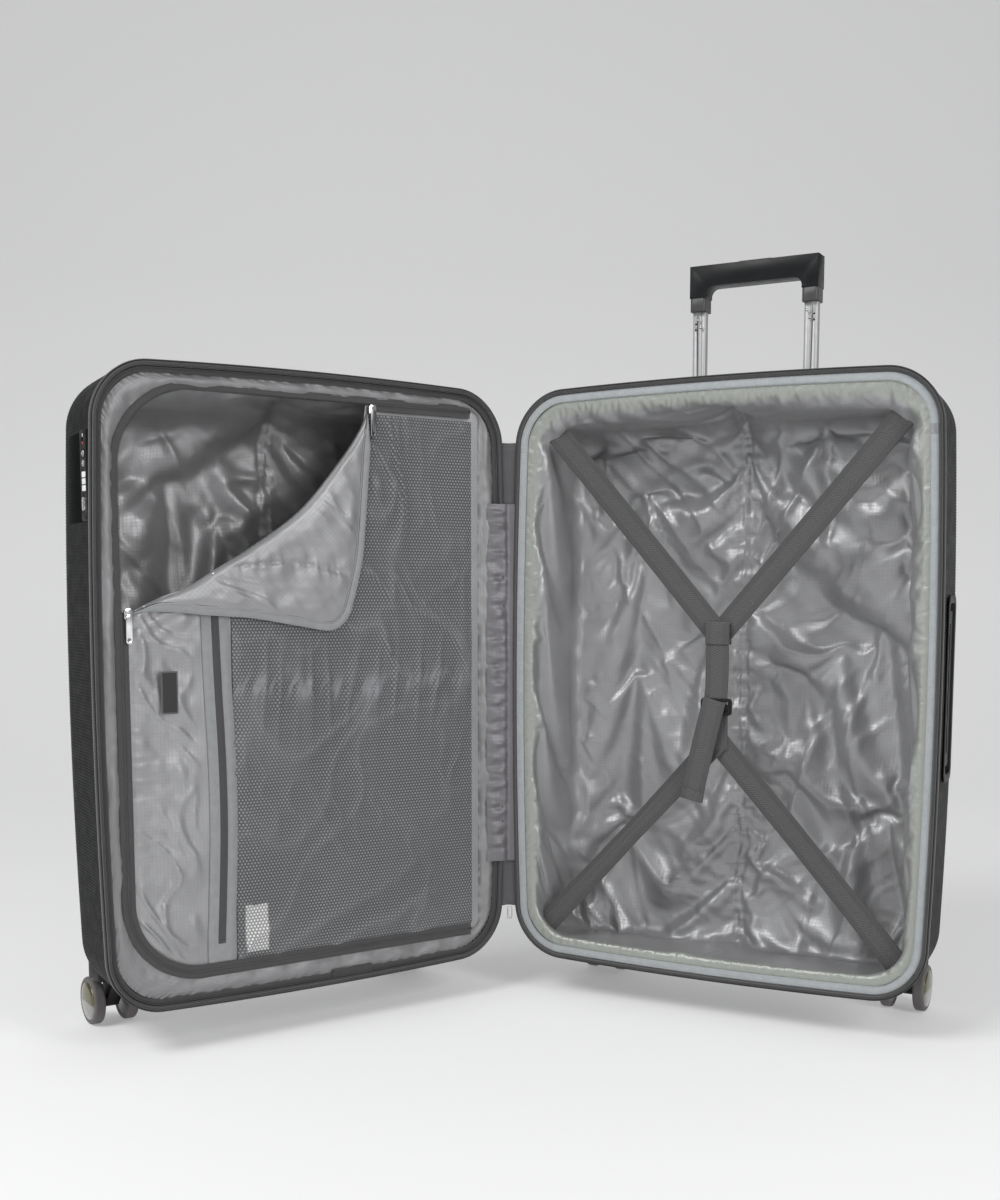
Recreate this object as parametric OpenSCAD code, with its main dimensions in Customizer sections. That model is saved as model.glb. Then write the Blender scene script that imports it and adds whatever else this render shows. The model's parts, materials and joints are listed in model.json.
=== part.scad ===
// Hard shell suitcase on twin-wheel casters, standing upright and opened like a book.
// Both shells share one local frame: x runs across the width from the hinge axis, y runs back
// from the closing plane into the shell's depth, and z is up from the floor.

/* [Case] */
// Width of each shell at its rim
case_w = 520; // [480:10:540]
// Height of each shell at its rim
case_h = 700; // [660:10:720]
// Depth of each shell behind its rim
shell_d = 155; // [150:1:165]
// Wall thickness of the moulded shells
wall = 2.2; // [1.8:0.1:2.6]
// Corner radius of the rim
corner_r = 60; // [50:1:70]
// Radius of the edge round the back of a shell
edge_r = 68; // [60:1:70]
// Draft of the side walls, in degrees
draft = 3.5; // [2:0.5:4]
// How far the long sides bow out at their middle
side_bow = 8; // [2:1:10]
// How far the top and bottom bow out at their middle
end_bow = 5.5; // [2:0.5:7]
// Height of the rim's lower edge above the floor
floor_gap = 48; // [48:1:52]
// Distance from the hinge axis to each rim
hinge_gap = 4; // [4:0.5:6]
// How far short of flat the lid stands, in degrees
open_short = 63.5; // [0:0.5:120]

/* [Linings] */
// Gap between shell and lining
lining_gap = 18; // [17:1:20]
// Thickness of the lining solids
lining_t = 1.2; // [1:0.1:2]
// Depth of the base lining, in front of the trolley tubes
base_lining_d = 120; // [110:1:120]
// Depth of the lid lining
lid_lining_d = 140; // [120:1:145]

/* [Divider] */
// Left, right, lower and upper limits of the zip loop round the divider
divider_box = [40, 492, 86, 720];
// Corner radius of the zip loop
divider_r = 85; // [70:1:95]
// Width of the zip track
track_w = 14; // [10:1:16]
// Where the fold of the open corner starts, at the top
fold_a = [196, 700];
// Where the fold of the open corner ends, at the side
fold_b = [465, 487];

/* [Trolley] */
// Width of the grip
grip_w = 160; // [150:2:170]
// Height of the grip with its collars
grip_h = 54; // [50:1:56]
// Thickness of the grip, front to back
grip_t = 24; // [20:1:25]
// Height of the grip's bar
bar_h = 25; // [24:1:27]
// Height of the grip's top above the floor, partly pulled out
grip_top = 900; // [890:5:930]
// Width and thickness of the inner tubes
tube = [17, 11];
// Wall of every tube
tube_wall = 1.2; // [1:0.1:1.4]
// Gap between sliding tubes
tube_gap = 0.25; // [0.2:0.05:0.3]
// Distance between the two tube centres
tube_pitch = 140; // [130:1:142]
// Depth of the tube centres behind the closing plane
trolley_y = 138; // [137:1:139]

/* [Casters] */
// Wheel diameter over the tyre
wheel_d = 56; // [50:1:56]
// Width of one tyre
wheel_w = 13; // [11:1:14]
// Distance between the two wheels of a caster
wheel_pitch = 40; // [38:1:42]
// How far the axle trails behind the swivel
trail = 26; // [22:1:28]
// Distance from the rim's side to the swivel
caster_in = 62; // [60:1:66]
// Radius of the swivel stem
stem_r = 4.95; // [4.9:0.01:4.99]
// Radius of the wheel axle
axle_r = 3; // [2.5:0.5:3.5]

/* [Carry handles] */
// Length of the recessed cup
cup_l = 200; // [190:2:220]
// Width of the recessed cup
cup_w = 48; // [46:1:52]
// Depth of the recessed cup
cup_d = 14; // [13:0.5:15]
// Radius of the handle pins
pin_r = 2; // [1.5:0.1:2.2]

/* [Lock] */
// Lower and upper ends of the lock
lock_z = [578, 672];
// Radius of a number dial
dial_r = 8; // [7:0.5:8]
// Distance between dials
dial_pitch = 7; // [6:0.5:7]

/* [Hidden] */

// Steps along a corner, a side and the back edge of the shells
arc_steps = 8;
side_steps = 6;
edge_steps = 8;
// Front of the rims, front of the shells and back of the shells
rim_y = 3;
shell_y = 10;
back_y = 4 + shell_d;
// Middle of the case
mid_x = hinge_gap + case_w/2;
mid_z = floor_gap + case_h/2;
outer_x = hinge_gap + case_w;
top_z = floor_gap + case_h;
// Middle of the opened case's outline on the floor
origin = [68, -138];
// Front edge of the linings
lining_y = 9.2;
// Tape that covers the hinge
cover_x = [13, 40];
cover_y = [1.2, 2.4];
cover_z = [170, 612];
// Layers on the divider: a layer's front and back
border_y = [8, lining_y];
panel_y = [9.6, 10.8];
pocket_y = [8, 9.2];
label_y = [8.8, 9.5];
flap_y = [4.4, 6];
slider_y = [4.6, 6.5];
pull_y = [3, 4.2];
zip_y = [6.6, 9.2];
// Where the two sliders of the divider zip stand, and how tall a slider is
sliders = [[485, 482], [188, 713]];
slider_h = 12;
// Trolley levels
well_floor = 688;
housing_z = [676, 741];
collar_h = 16;
middle_tube = [for (s = tube) s + 2*(tube_gap + tube_wall)];
outer_tube = [for (s = middle_tube) s + 2*(tube_gap + tube_wall)];
// Caster levels
wheel_r = wheel_d/2;
hub_r = wheel_r - 6;
crown_z = [wheel_d + 1.3, wheel_d + 5.8];
pad_z = wheel_d + 6.3;
swivel_y = 138;
swivel_x = [outer_x - caster_in, hinge_gap + caster_in];
// Where the screws stand on each side of a swivel
screws_at = [[26, -2], [22, 12]];
// Straps: webbing width and thickness, and the four corners and two junctions
strap = [28, 1.6];
strap_corners = [[48, 24, 92], [480, 24, 92], [480, 24, 704], [48, 24, 704]];
junction_low = [mid_x, 30, 328];
junction_high = [mid_x, 30, 458];
// Carry handles: length and width of the handle, and where its pins run in the cup
bail = [172, 28.5];
bail_t = 9;
pivot = [-10, -5];
// Lock
lock_x = [507.5, 523];
lock_y = [11, 29];
dial_at = [516.5, 20];
dial_z = [612, 619, 626];
dial_t = dial_pitch - 1.2;

// ---- placing ----

module in_base() translate([-origin.x, -origin.y, 0]) children();

module in_lid() in_base() rotate([0, 0, open_short]) mirror([1, 0, 0]) children();

// Extrudes a shape drawn in x and z from depth y.x to depth y.y
module plate(y) translate([0, y[1], 0]) rotate([90, 0, 0]) linear_extrude(y[1] - y[0]) children();

// ---- outlines ----

function arc_points(c, r, a0) =
    [for (i = [0:arc_steps]) let(a = a0 + 90*i/arc_steps) c + r*[cos(a), sin(a)]];

function side_points(p, q) = [for (i = [1:side_steps - 1]) p + (q - p)*i/side_steps];

function bowed(p, a, b) = [
    p.x*(1 - side_bow*pow(p.y/b, 2)/a),
    p.y*(1 - end_bow*pow(p.x/a, 2)/b)];

// The rim's outline drawn in by an inset, about the middle of the case
function ring(inset) = let(
    a = case_w/2 - inset, b = case_h/2 - inset, r = max(corner_r - 0.72*inset, 10),
    flat = concat(
        arc_points([a - r, b - r], r, 0), side_points([a - r, b], [r - a, b]),
        arc_points([r - a, b - r], r, 90), side_points([-a, b - r], [-a, r - b]),
        arc_points([r - a, r - b], r, 180), side_points([r - a, -b], [a - r, -b]),
        arc_points([a - r, r - b], r, 270), side_points([a, r - b], [a, b - r])))
    [for (p = flat) bowed(p, a, b)];

module outline(inset) translate([mid_x, mid_z]) polygon(ring(inset));

module band(y, inset) plate(y) difference() {
    outline(inset[0]);
    outline(inset[1]);
}

module rounded(size, r) {
    square([size.x - 2*r, size.y], center = true);
    square([size.x, size.y - 2*r], center = true);
    for (x = [-1, 1], y = [-1, 1]) translate([x*(size.x/2 - r), y*(size.y/2 - r)]) circle(r, $fn = 48);
}

// ---- shells ----

// Depth and inset of each ring of a drafted shell with a rounded back edge
function shell_rings(front, back, inset, edge) = let(
    turn = back - edge,
    run = turn + edge*sin(draft) - front,
    centre = inset + tan(draft)*run + edge*cos(draft))
    concat([[front, inset]],
        [for (i = [0:edge_steps]) let(a = draft + (90 - draft)*i/edge_steps)
            [turn + edge*sin(a), centre - edge*cos(a)]]);

module loft(rings) {
    n = len(ring(0));
    last = len(rings) - 1;
    points = [for (r = rings) for (p = ring(r[1])) [mid_x + p.x, r[0], mid_z + p.y]];
    sides = [for (k = [0:last - 1], j = [0:n - 1]) let(
            a = k*n + j, b = k*n + (j + 1)%n, c = b + n, d = a + n)
        each [[a, b, c], [a, c, d]]];
    caps = [[for (j = [n - 1:-1:0]) j], [for (j = [0:n - 1]) last*n + j]];
    polyhedron(points, concat(sides, caps));
}

module shell_outside() loft(shell_rings(shell_y, back_y, 0, edge_r));

module shell() difference() {
    shell_outside();
    loft(shell_rings(shell_y - 1, back_y - wall, wall, edge_r - wall));
}

module lining(back, edge) difference() {
    loft(concat([[lining_y, lining_gap - 6]], shell_rings(14, back, lining_gap, edge)));
    loft(concat([[lining_y - 1, lining_gap - 6 + lining_t]],
        shell_rings(13, back - lining_t, lining_gap + lining_t, edge - lining_t)));
}

module rim(inner) {
    band([rim_y, shell_y], [-1.5, inner]);
    band([0.5, rim_y], [0.5, 3.5]);
}

module base_shell() color([0.14, 0.15, 0.15]) in_base() difference() {
    shell();
    housing_block(0.15);
    on_top() cup_hole();
    on_side() cup_hole();
}

module lid_shell() color([0.14, 0.15, 0.15]) in_lid() difference() {
    shell();
    lock_block(0.15);
}

module base_rim() color([0.24, 0.24, 0.25]) in_base() rim(4.5);

module lid_rim() color([0.24, 0.24, 0.25]) in_lid() {
    rim(6);
    band([6, shell_y], [6, 11.2]);
}

module base_binding() color([0.6, 0.63, 0.64]) in_base() band([3.6, 6.4], [4.7, 14.2]);

module base_lining() color([0.6, 0.61, 0.63]) in_base() lining(base_lining_d, 30);

module lid_lining() color([0.5, 0.51, 0.53]) in_lid() lining(lid_lining_d, 40);

// ---- hinge ----

module hinge_strip() color([0.36, 0.35, 0.38]) in_base()
    translate([-1, 1.2, 110]) cube([2, 3, 576]);

module hinge_cover() color([0.6, 0.61, 0.63]) in_lid()
    plate(cover_y) translate([cover_x[0], cover_z[0]])
        square([cover_x[1] - cover_x[0], cover_z[1] - cover_z[0]]);

module side_feet() for (z = [230, 566]) difference() {
    translate([0.5, 75, z]) rotate([0, 90, 0]) cylinder(r = 12, h = 18, $fn = 48);
    shell_outside();
}

module base_side_feet() color([0.12, 0.12, 0.12]) in_base() side_feet();

module lid_side_feet() color([0.12, 0.12, 0.12]) in_lid() side_feet();

// ---- divider ----

// The zip loop's shape drawn in by an offset; its hinge side stays open and straight
module divider_shape(offset_in) {
    x0 = divider_box[0];
    x1 = divider_box[1] - offset_in;
    z0 = divider_box[2] + offset_in;
    z1 = divider_box[3] - offset_in;
    r = divider_r - offset_in;
    translate([x0, z0]) square([x1 - r - x0, z1 - z0]);
    translate([x0, z0 + r]) square([x1 - x0, z1 - z0 - 2*r]);
    for (z = [z0 + r, z1 - r]) translate([x1 - r, z]) circle(r, $fn = 96);
}

// Everything beyond the fold of the open corner
module beyond_fold() polygon([fold_a, fold_b, [600, fold_b.y], [600, 900], [fold_a.x, 900]]);

module open_corner() intersection() {
    divider_shape(track_w/2);
    beyond_fold();
}

module divider_border() color([0.5, 0.51, 0.53]) in_lid() plate(border_y) difference() {
    outline(11.5);
    divider_shape(0);
}

module divider_panel() color([0.5, 0.51, 0.53]) in_lid() plate(panel_y) difference() {
    divider_shape(track_w + 0.3);
    beyond_fold();
}

module divider_zip() color([0.3, 0.3, 0.31]) in_lid() plate(zip_y) difference() {
    divider_shape(0.1);
    divider_shape(track_w);
    intersection() {
        divider_shape(track_w/2);
        translate([sliders[1].x, sliders[0].y]) square(500);
    }
}

module divider_flap() {
    fold = fold_b - fold_a;
    normal = [fold.y, -fold.x];
    color([0.54, 0.54, 0.55]) in_lid() plate(flap_y)
        translate(fold_a) mirror([normal.x, normal.y, 0]) translate(-fold_a) open_corner();
}

module mesh_pocket() color([0.4, 0.42, 0.43]) in_lid() plate(pocket_y) difference() {
    translate([56, 102]) square([306, 596]);
    beyond_fold();
}

module pocket_zip() color([0.46, 0.46, 0.47]) in_lid() plate(pocket_y) difference() {
    translate([366, 102]) square([39, 596]);
    beyond_fold();
}

// A woven label on the divider and a care label behind the mesh
module sewn_labels() color([0.7, 0.7, 0.7]) in_lid() {
    plate(label_y) translate([433, 375]) square([19, 46]);
    plate([pocket_y[1] + 0.05, panel_y[0] - 0.05]) translate([329, 102]) square([27, 52]);
}

module divider_sliders() color([0.75, 0.76, 0.77]) in_lid()
    for (p = sliders) plate(slider_y) translate(p) rounded([9, slider_h], 3);

// A pull hangs in front of its slider and turns about its own top edge
module slider_pull(p) color([0.8, 0.8, 0.82]) in_lid() plate(pull_y)
    translate([p.x, p.y - 15.7]) difference() {
        rounded([7, 31], 3);
        translate([0, -11]) circle(1.9, $fn = 32);
    }

module side_slider_pull() slider_pull(sliders[0]);

module top_slider_pull() slider_pull(sliders[1]);

module pocket_slider() color([0.75, 0.76, 0.77]) in_lid()
    plate([6.2, 7.8]) translate([385.5, 520]) union() {
        rounded([9, 12], 3);
        translate([0, -14]) rounded([6, 18], 2.5);
    }

// ---- lock ----

module lock_block(grow) plate(lock_y + grow*[-1, 1])
    translate([(lock_x[0] + lock_x[1])/2, (lock_z[0] + lock_z[1])/2])
        rounded([lock_x[1] - lock_x[0] + 2*grow, lock_z[1] - lock_z[0] + 2*grow], 3);

module oval(r, l, h) {
    for (z = [-l/2, l/2]) translate([0, 0, z]) rotate([0, 90, 0]) cylinder(r = r, h = h, $fn = 48);
    translate([0, -r, -l/2]) cube([h, 2*r, l]);
}

module lock_body() color([0.1, 0.1, 0.11]) in_lid() {
    difference() {
        lock_block(0);
        translate([dial_at.x, dial_at.y, dial_z[0] - dial_pitch/2])
            cylinder(r = dial_r + 0.6, h = 3*dial_pitch, $fn = 64);
        translate([lock_x[1] - 6, dial_at.y, 596]) oval(4.2, 6.4, 10);
        for (y = [-4, 4]) translate([lock_x[1] - 8, dial_at.y + y - 1.25, 643]) cube([10, 2.5, 9]);
        translate([lock_x[1] - 1, dial_at.y, 662]) rotate([0, 90, 0]) cylinder(r = 2.6, h = 2, $fn = 32);
    }
    translate([dial_at.x, dial_at.y, dial_z[0] - dial_pitch/2 - 1])
        cylinder(r = 1.5, h = 3*dial_pitch + 2, $fn = 32);
}

module lock_dial(z) color([0.9, 0.9, 0.9]) in_lid() translate([dial_at.x, dial_at.y, z - dial_t/2])
    difference() {
        cylinder(r = dial_r, h = dial_t, $fn = 64);
        translate([0, 0, -1]) cylinder(r = 1.55, h = dial_t + 2, $fn = 32);
    }

module lock_dial_1() lock_dial(dial_z[0]);

module lock_dial_2() lock_dial(dial_z[1]);

module lock_dial_3() lock_dial(dial_z[2]);

module lock_button() color([0.82, 0.83, 0.84]) in_lid()
    translate([lock_x[1] - 3.5, dial_at.y, 596]) oval(3.9, 6.4, 5);

// ---- trolley ----

module tube_pair(size, z, hole = [0, 0]) for (x = [-1, 1])
    translate([mid_x + x*tube_pitch/2, trolley_y, z[0]]) linear_extrude(z[1] - z[0]) difference() {
        rounded(size, 3);
        if (hole.x > 0) rounded(hole, 2);
    }

module housing_block(grow) translate([mid_x, 139, housing_z[0] - grow])
    linear_extrude(housing_z[1] - housing_z[0] + 100*grow) rounded([184 + 2*grow, 36 + 2*grow], 8 + grow);

module handle_housing() color([0.12, 0.12, 0.13]) in_base() difference() {
    housing_block(0);
    translate([mid_x, trolley_y, well_floor]) linear_extrude(100) rounded([grip_w + 4, grip_t + 4], 6);
    tube_pair(middle_tube + [0.5, 0.5], housing_z + [-1, 0]);
}

module outer_tubes() color([0.6, 0.6, 0.61]) in_base()
    tube_pair(outer_tube, [96, housing_z[0]], outer_tube - 2*tube_wall*[1, 1]);

module middle_tubes() color([0.66, 0.66, 0.67]) in_base()
    tube_pair(middle_tube, [376, well_floor - 2], middle_tube - 2*tube_wall*[1, 1]);

module inner_tubes() color([0.72, 0.72, 0.73]) in_base() {
    top = grip_top - 30;
    front = trolley_y - tube.y/2;
    difference() {
        tube_pair(tube, [555, top], tube - 2*tube_wall*[1, 1]);
        for (x = [-1, 1]) translate([mid_x + x*tube_pitch/2, front, 0]) {
            translate([-x*2 - 1.5, -1, 550]) cube([3, 1.5, 400]);
            for (z = [14, 21]) translate([x*4, -1, grip_top - grip_h - z]) rotate([-90, 0, 0])
                cylinder(r = 1.1, h = 3, $fn = 24);
        }
    }
}

module tube_bracket() color([0.12, 0.12, 0.13]) in_base() difference() {
    translate([mid_x, trolley_y, 91]) linear_extrude(15) rounded([172, 21], 4);
    tube_pair(outer_tube, [96, 120]);
}

module grip_profile() difference() {
    union() {
        translate([0, -grip_h/2 + 5]) square([grip_w, grip_h - 10], center = true);
        translate([0, -5]) square([grip_w - 10, 10], center = true);
        for (x = [-1, 1]) translate([x*(grip_w/2 - 5), -5]) circle(5, $fn = 48);
    }
    translate([0, -bar_h - 50 - 10]) square([grip_w - 40, 100], center = true);
    translate([0, -bar_h - 50]) square([grip_w - 60, 100], center = true);
    for (x = [-1, 1]) translate([x*(grip_w/2 - 30), -bar_h - 10]) circle(10, $fn = 48);
    translate([0, -grip_h - 50 + collar_h]) square([grip_w + 2, 100], center = true);
}

module grip() color([0.17, 0.18, 0.19]) in_base() translate([mid_x, trolley_y, grip_top])
    difference() {
        translate([0, grip_t/2, 0]) rotate([90, 0, 0]) linear_extrude(grip_t) grip_profile();
        translate([-74, -5, -22]) cube([148, 10, 15]);
        for (x = [-1, 1]) translate([x*tube_pitch/2, 0, -50]) {
            linear_extrude(20) rounded(tube, 3);
            cylinder(r = 2.6, h = 40, $fn = 32);
        }
        translate([0, 0, -10]) linear_extrude(20) rounded([44.6, 11.6], 5);
    }

module grip_collars() color([0.28, 0.28, 0.29]) in_base()
    translate([mid_x, trolley_y, grip_top - grip_h]) for (x = [-1, 1])
        translate([x*tube_pitch/2, 0, 0]) linear_extrude(collar_h) difference() {
            rounded([20, grip_t], 4);
            rounded(tube, 3);
        }

module release_button() color([0.3, 0.31, 0.32]) in_base() translate([mid_x, trolley_y, grip_top]) {
    translate([0, 0, -7]) linear_extrude(9) rounded([44, 11], 5);
    translate([0, 0, -13]) linear_extrude(6) rounded([16, 6], 2);
}

module push_rods() color([0.6, 0.6, 0.61]) in_base() translate([mid_x, trolley_y, grip_top]) {
    translate([-72, -3, -18]) cube([144, 6, 5]);
    for (x = [-1, 1]) translate([x*tube_pitch/2, 0, -340]) cylinder(r = 2, h = 323, $fn = 32);
}

// ---- straps ----

// A straight length of webbing between two points
module webbing(p, q) {
    v = q - p;
    flat = sqrt(v.x*v.x + v.z*v.z);
    translate(p) rotate([0, -atan2(v.z, v.x), 0]) rotate([0, 0, atan2(v.y, flat)])
        translate([0, -strap[1]/2, -strap[0]/2]) cube([norm(v), strap[1], strap[0]]);
}

module upper_cross_straps() color([0.38, 0.38, 0.39]) in_base()
    for (i = [2, 3]) webbing(strap_corners[i], junction_high);

module lower_cross_straps() color([0.38, 0.38, 0.39]) in_base()
    for (i = [0, 1]) webbing(strap_corners[i], junction_low);

module centre_strap() color([0.38, 0.38, 0.39]) in_base()
    plate([25.4, 27]) translate([mid_x, 360]) square([27, 206], center = true);

module strap_buckle() color([0.2, 0.2, 0.2]) in_base()
    plate([22.4, 25.2]) translate([mid_x, 371]) difference() {
        rounded([38, 20], 4);
        for (z = [-1, 1]) translate([0, z*4.4]) square([29, 3.4], center = true);
    }

// ---- carry handles ----

// Both cups are drawn with x along the handle, y across it and z out of the shell
module on_top() translate([mid_x, 66, top_z - tan(draft)*56]) rotate([-draft, 0, 0]) children();

module on_side() translate([outer_x - tan(draft)*56, 66, mid_z]) rotate([0, 0, draft])
    rotate([0, 90, 0]) children();

module cup_hole() translate([0, 0, -cup_d - 3]) linear_extrude(cup_d + 8)
    rounded([cup_l + 0.4, cup_w + 0.4], 10.2);

module handle_cup() difference() {
    union() {
        translate([0, 0, -cup_d]) linear_extrude(cup_d + 0.4) rounded([cup_l, cup_w], 10);
        translate([0, 0, 0.4]) linear_extrude(1) rounded([cup_l + 7, cup_w + 7], 13);
    }
    translate([0, 0, 2 - cup_d]) linear_extrude(cup_d + 1) rounded([cup_l - 10, cup_w - 10], 8);
    translate([-cup_l/2 + 1, pivot[0], pivot[1]]) rotate([0, 90, 0])
        cylinder(r = pin_r, h = cup_l - 2, $fn = 32);
}

module handle_pins() for (x = [-1, 1]) translate([x*(cup_l/2 - 13), pivot[0], pivot[1]])
    rotate([0, 90, 0]) cylinder(r = pin_r, h = 24, center = true, $fn = 32);

module carry_handle() difference() {
    translate([0, 0, pivot[1]]) union() {
        translate([0, 8, -bail_t/2]) linear_extrude(bail_t) rounded([bail[0], 12], 4);
        for (x = [-1, 1]) translate([x*(bail[0]/2 - 7), 0, 0]) {
            translate([-7, pivot[0], -bail_t/2]) cube([14, 16, bail_t]);
            translate([-7, pivot[0], 0]) rotate([0, 90, 0]) cylinder(r = bail_t/2, h = 14, $fn = 48);
        }
    }
    translate([-bail[0]/2 - 1, pivot[0], pivot[1]]) rotate([0, 90, 0])
        cylinder(r = pin_r + 0.05, h = bail[0] + 2, $fn = 32);
}

module carry_handle_cups() color([0.12, 0.12, 0.13]) in_base() {
    on_top() handle_cup();
    on_side() handle_cup();
}

module carry_handle_pins() color([0.7, 0.7, 0.71]) in_base() {
    on_top() handle_pins();
    on_side() handle_pins();
}

module top_carry_handle() color([0.2, 0.2, 0.21]) in_base() on_top() carry_handle();

module side_carry_handle() color([0.2, 0.2, 0.21]) in_base() on_side() carry_handle();

// ---- casters ----

module caster_housings() for (x = swivel_x) difference() {
    translate([x, swivel_y - 6, pad_z]) linear_extrude(46) rounded([60, 52], 14);
    shell_outside();
    translate([x, swivel_y, pad_z - 1]) cylinder(r = 5, h = 12, $fn = 48);
}

module screw_heads() for (x = swivel_x, side = [-1, 1], at = screws_at)
    translate([x + side*at.x, swivel_y + at.y, pad_z - 1.2]) difference() {
        cylinder(r = 3.2, h = 1.2, $fn = 32);
        translate([-2.4, -0.5, -1]) cube([4.8, 1, 1.6]);
        translate([-0.5, -2.4, -1]) cube([1, 4.8, 1.6]);
    }

module base_caster_housings() color([0.13, 0.13, 0.14]) in_base() caster_housings();

module lid_caster_housings() color([0.13, 0.13, 0.14]) in_lid() caster_housings();

module base_screws() color([0.7, 0.7, 0.71]) in_base() screw_heads();

module lid_screws() color([0.7, 0.7, 0.71]) in_lid() screw_heads();

// Turns a solid drawn along z so that it lies along x, centred on the wheel axle
module on_axle() translate([0, trail, wheel_r]) rotate([0, 90, 0]) children();

module fork() {
    translate([0, 0, crown_z[0]]) cylinder(r = 21, h = crown_z[1] - crown_z[0], $fn = 96);
    translate([0, 0, crown_z[1] - 1]) cylinder(r = stem_r, h = 12, $fn = 48);
    difference() {
        union() {
            on_axle() cylinder(r = 10, h = 17, center = true, $fn = 64);
            translate([-8.5, 0, 0]) rotate([90, 0, 90]) linear_extrude(17)
                polygon([[-14, crown_z[0] + 1], [17, crown_z[0] + 1], [35.5, 31], [20, 20]]);
        }
        on_axle() cylinder(r = axle_r + 0.05, h = 20, center = true, $fn = 32);
    }
}

module wheels() on_axle() {
    cylinder(r = axle_r, h = wheel_pitch + wheel_w - 4, center = true, $fn = 32);
    for (s = [-1, 1]) translate([0, 0, s*wheel_pitch/2]) difference() {
        cylinder(r = hub_r, h = wheel_w - 1, center = true, $fn = 96);
        translate([0, 0, s*wheel_w/2]) cylinder(r = hub_r - 4, h = 5, center = true, $fn = 96);
    }
}

module tyres() on_axle() for (s = [-1, 1]) translate([0, 0, s*wheel_pitch/2]) rotate_extrude($fn = 96)
    union() {
        translate([hub_r, -wheel_w/2]) square([wheel_r - hub_r - 3, wheel_w]);
        translate([hub_r, 3 - wheel_w/2]) square([wheel_r - hub_r, wheel_w - 6]);
        for (y = [-1, 1]) translate([wheel_r - 3, y*(wheel_w/2 - 3)]) circle(3, $fn = 32);
    }

// Casters 1 and 2 stand under the base, and casters 3 and 4 under the lid
module caster(i) if (i <= 2) in_base() translate([swivel_x[i - 1], swivel_y, 0]) children();
    else in_lid() translate([swivel_x[i - 3], swivel_y, 0]) children();

module fork_of(i) color([0.16, 0.16, 0.17]) caster(i) fork();

module wheels_of(i) color([0.5, 0.5, 0.46]) caster(i) wheels();

module tyres_of(i) color([0.45, 0.43, 0.43]) caster(i) tyres();

base_shell();
base_rim();
base_binding();
base_lining();
hinge_strip();
base_side_feet();
handle_housing();
outer_tubes();
tube_bracket();
upper_cross_straps();
lower_cross_straps();
centre_strap();
strap_buckle();
carry_handle_cups();
carry_handle_pins();
base_caster_housings();
base_screws();
top_carry_handle();
side_carry_handle();
middle_tubes();
inner_tubes();
grip();
grip_collars();
release_button();
push_rods();
lid_shell();
lid_rim();
lid_side_feet();
lid_lining();
divider_border();
divider_panel();
divider_zip();
divider_flap();
mesh_pocket();
pocket_zip();
sewn_labels();
hinge_cover();
divider_sliders();
side_slider_pull();
top_slider_pull();
pocket_slider();
lock_body();
lock_dial_1();
lock_dial_2();
lock_dial_3();
lock_button();
lid_caster_housings();
lid_screws();
for (i = [1:4]) {
    fork_of(i);
    wheels_of(i);
    tyres_of(i);
}
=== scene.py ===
"""Hard shell suitcase, opened like a book: shells, rims, linings, divider, straps and the looks of its hardware.

Both shells share one local frame, as in the CAD: x runs from the hinge axis across the width, y runs back
from the closing plane into the shell, and z is up from the floor. to_row() turns local points into the row
frame. An inset is a distance in from the rim's outline.
"""
import json
import math

import bmesh
import bpy
import numpy as np
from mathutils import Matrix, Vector


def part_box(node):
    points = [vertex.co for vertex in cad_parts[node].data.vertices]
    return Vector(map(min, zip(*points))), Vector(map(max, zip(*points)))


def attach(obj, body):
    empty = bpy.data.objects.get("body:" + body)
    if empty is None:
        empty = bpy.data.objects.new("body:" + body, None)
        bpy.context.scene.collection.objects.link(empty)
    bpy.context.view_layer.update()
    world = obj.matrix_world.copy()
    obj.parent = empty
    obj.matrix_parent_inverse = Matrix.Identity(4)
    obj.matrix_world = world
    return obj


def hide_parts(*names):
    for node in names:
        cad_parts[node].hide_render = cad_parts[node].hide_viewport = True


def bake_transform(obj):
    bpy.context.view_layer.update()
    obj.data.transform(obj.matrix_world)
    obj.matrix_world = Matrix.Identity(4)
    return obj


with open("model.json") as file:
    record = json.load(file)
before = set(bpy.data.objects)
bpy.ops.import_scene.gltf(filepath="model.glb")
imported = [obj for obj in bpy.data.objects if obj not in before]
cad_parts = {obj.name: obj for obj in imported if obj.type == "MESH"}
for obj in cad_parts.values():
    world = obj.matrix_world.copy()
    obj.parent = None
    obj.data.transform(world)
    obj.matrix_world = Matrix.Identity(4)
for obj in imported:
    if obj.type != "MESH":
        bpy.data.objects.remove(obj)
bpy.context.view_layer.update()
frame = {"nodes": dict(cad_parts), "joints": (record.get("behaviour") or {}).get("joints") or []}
TAU = 2 * math.pi
MM = 0.001

# ---- measures, from the frame ----

JOINTS = {j["name"]: j for j in frame["joints"]}
HINGE = np.array(JOINTS["lid_hinge"]["pos_m"])
SHORT = math.radians(-JOINTS["lid_hinge"]["range_deg"][0])


def turned(x, y):
    """x and y turned from the lid's axes to the row's, or back: the turn is its own inverse."""
    return -x * math.cos(SHORT) - y * math.sin(SHORT), -x * math.sin(SHORT) + y * math.cos(SHORT)


def to_row(points, side):
    """Local points of a shell as points in the row frame. Side "row" is the row frame itself."""
    p = np.asarray(points, float)
    if side == "row":
        return p
    x, y = p[..., 0], p[..., 1]
    if side == "lid":
        x, y = turned(x, y)
    return np.stack([x + HINGE[0], y + HINGE[1], p[..., 2]], -1)


def to_local(points, side):
    """The reverse of to_row."""
    p = np.asarray(points, float)
    x, y = p[..., 0] - HINGE[0], p[..., 1] - HINGE[1]
    if side == "lid":
        x, y = turned(x, y)
    return np.stack([x, y, p[..., 2]], -1)


def local_box(node, side):
    """Lowest and highest corners of a CAD node in its shell's local frame."""
    co = to_local([v.co[:] for v in frame["nodes"][node].data.vertices], side)
    return co.min(0), co.max(0)


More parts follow.
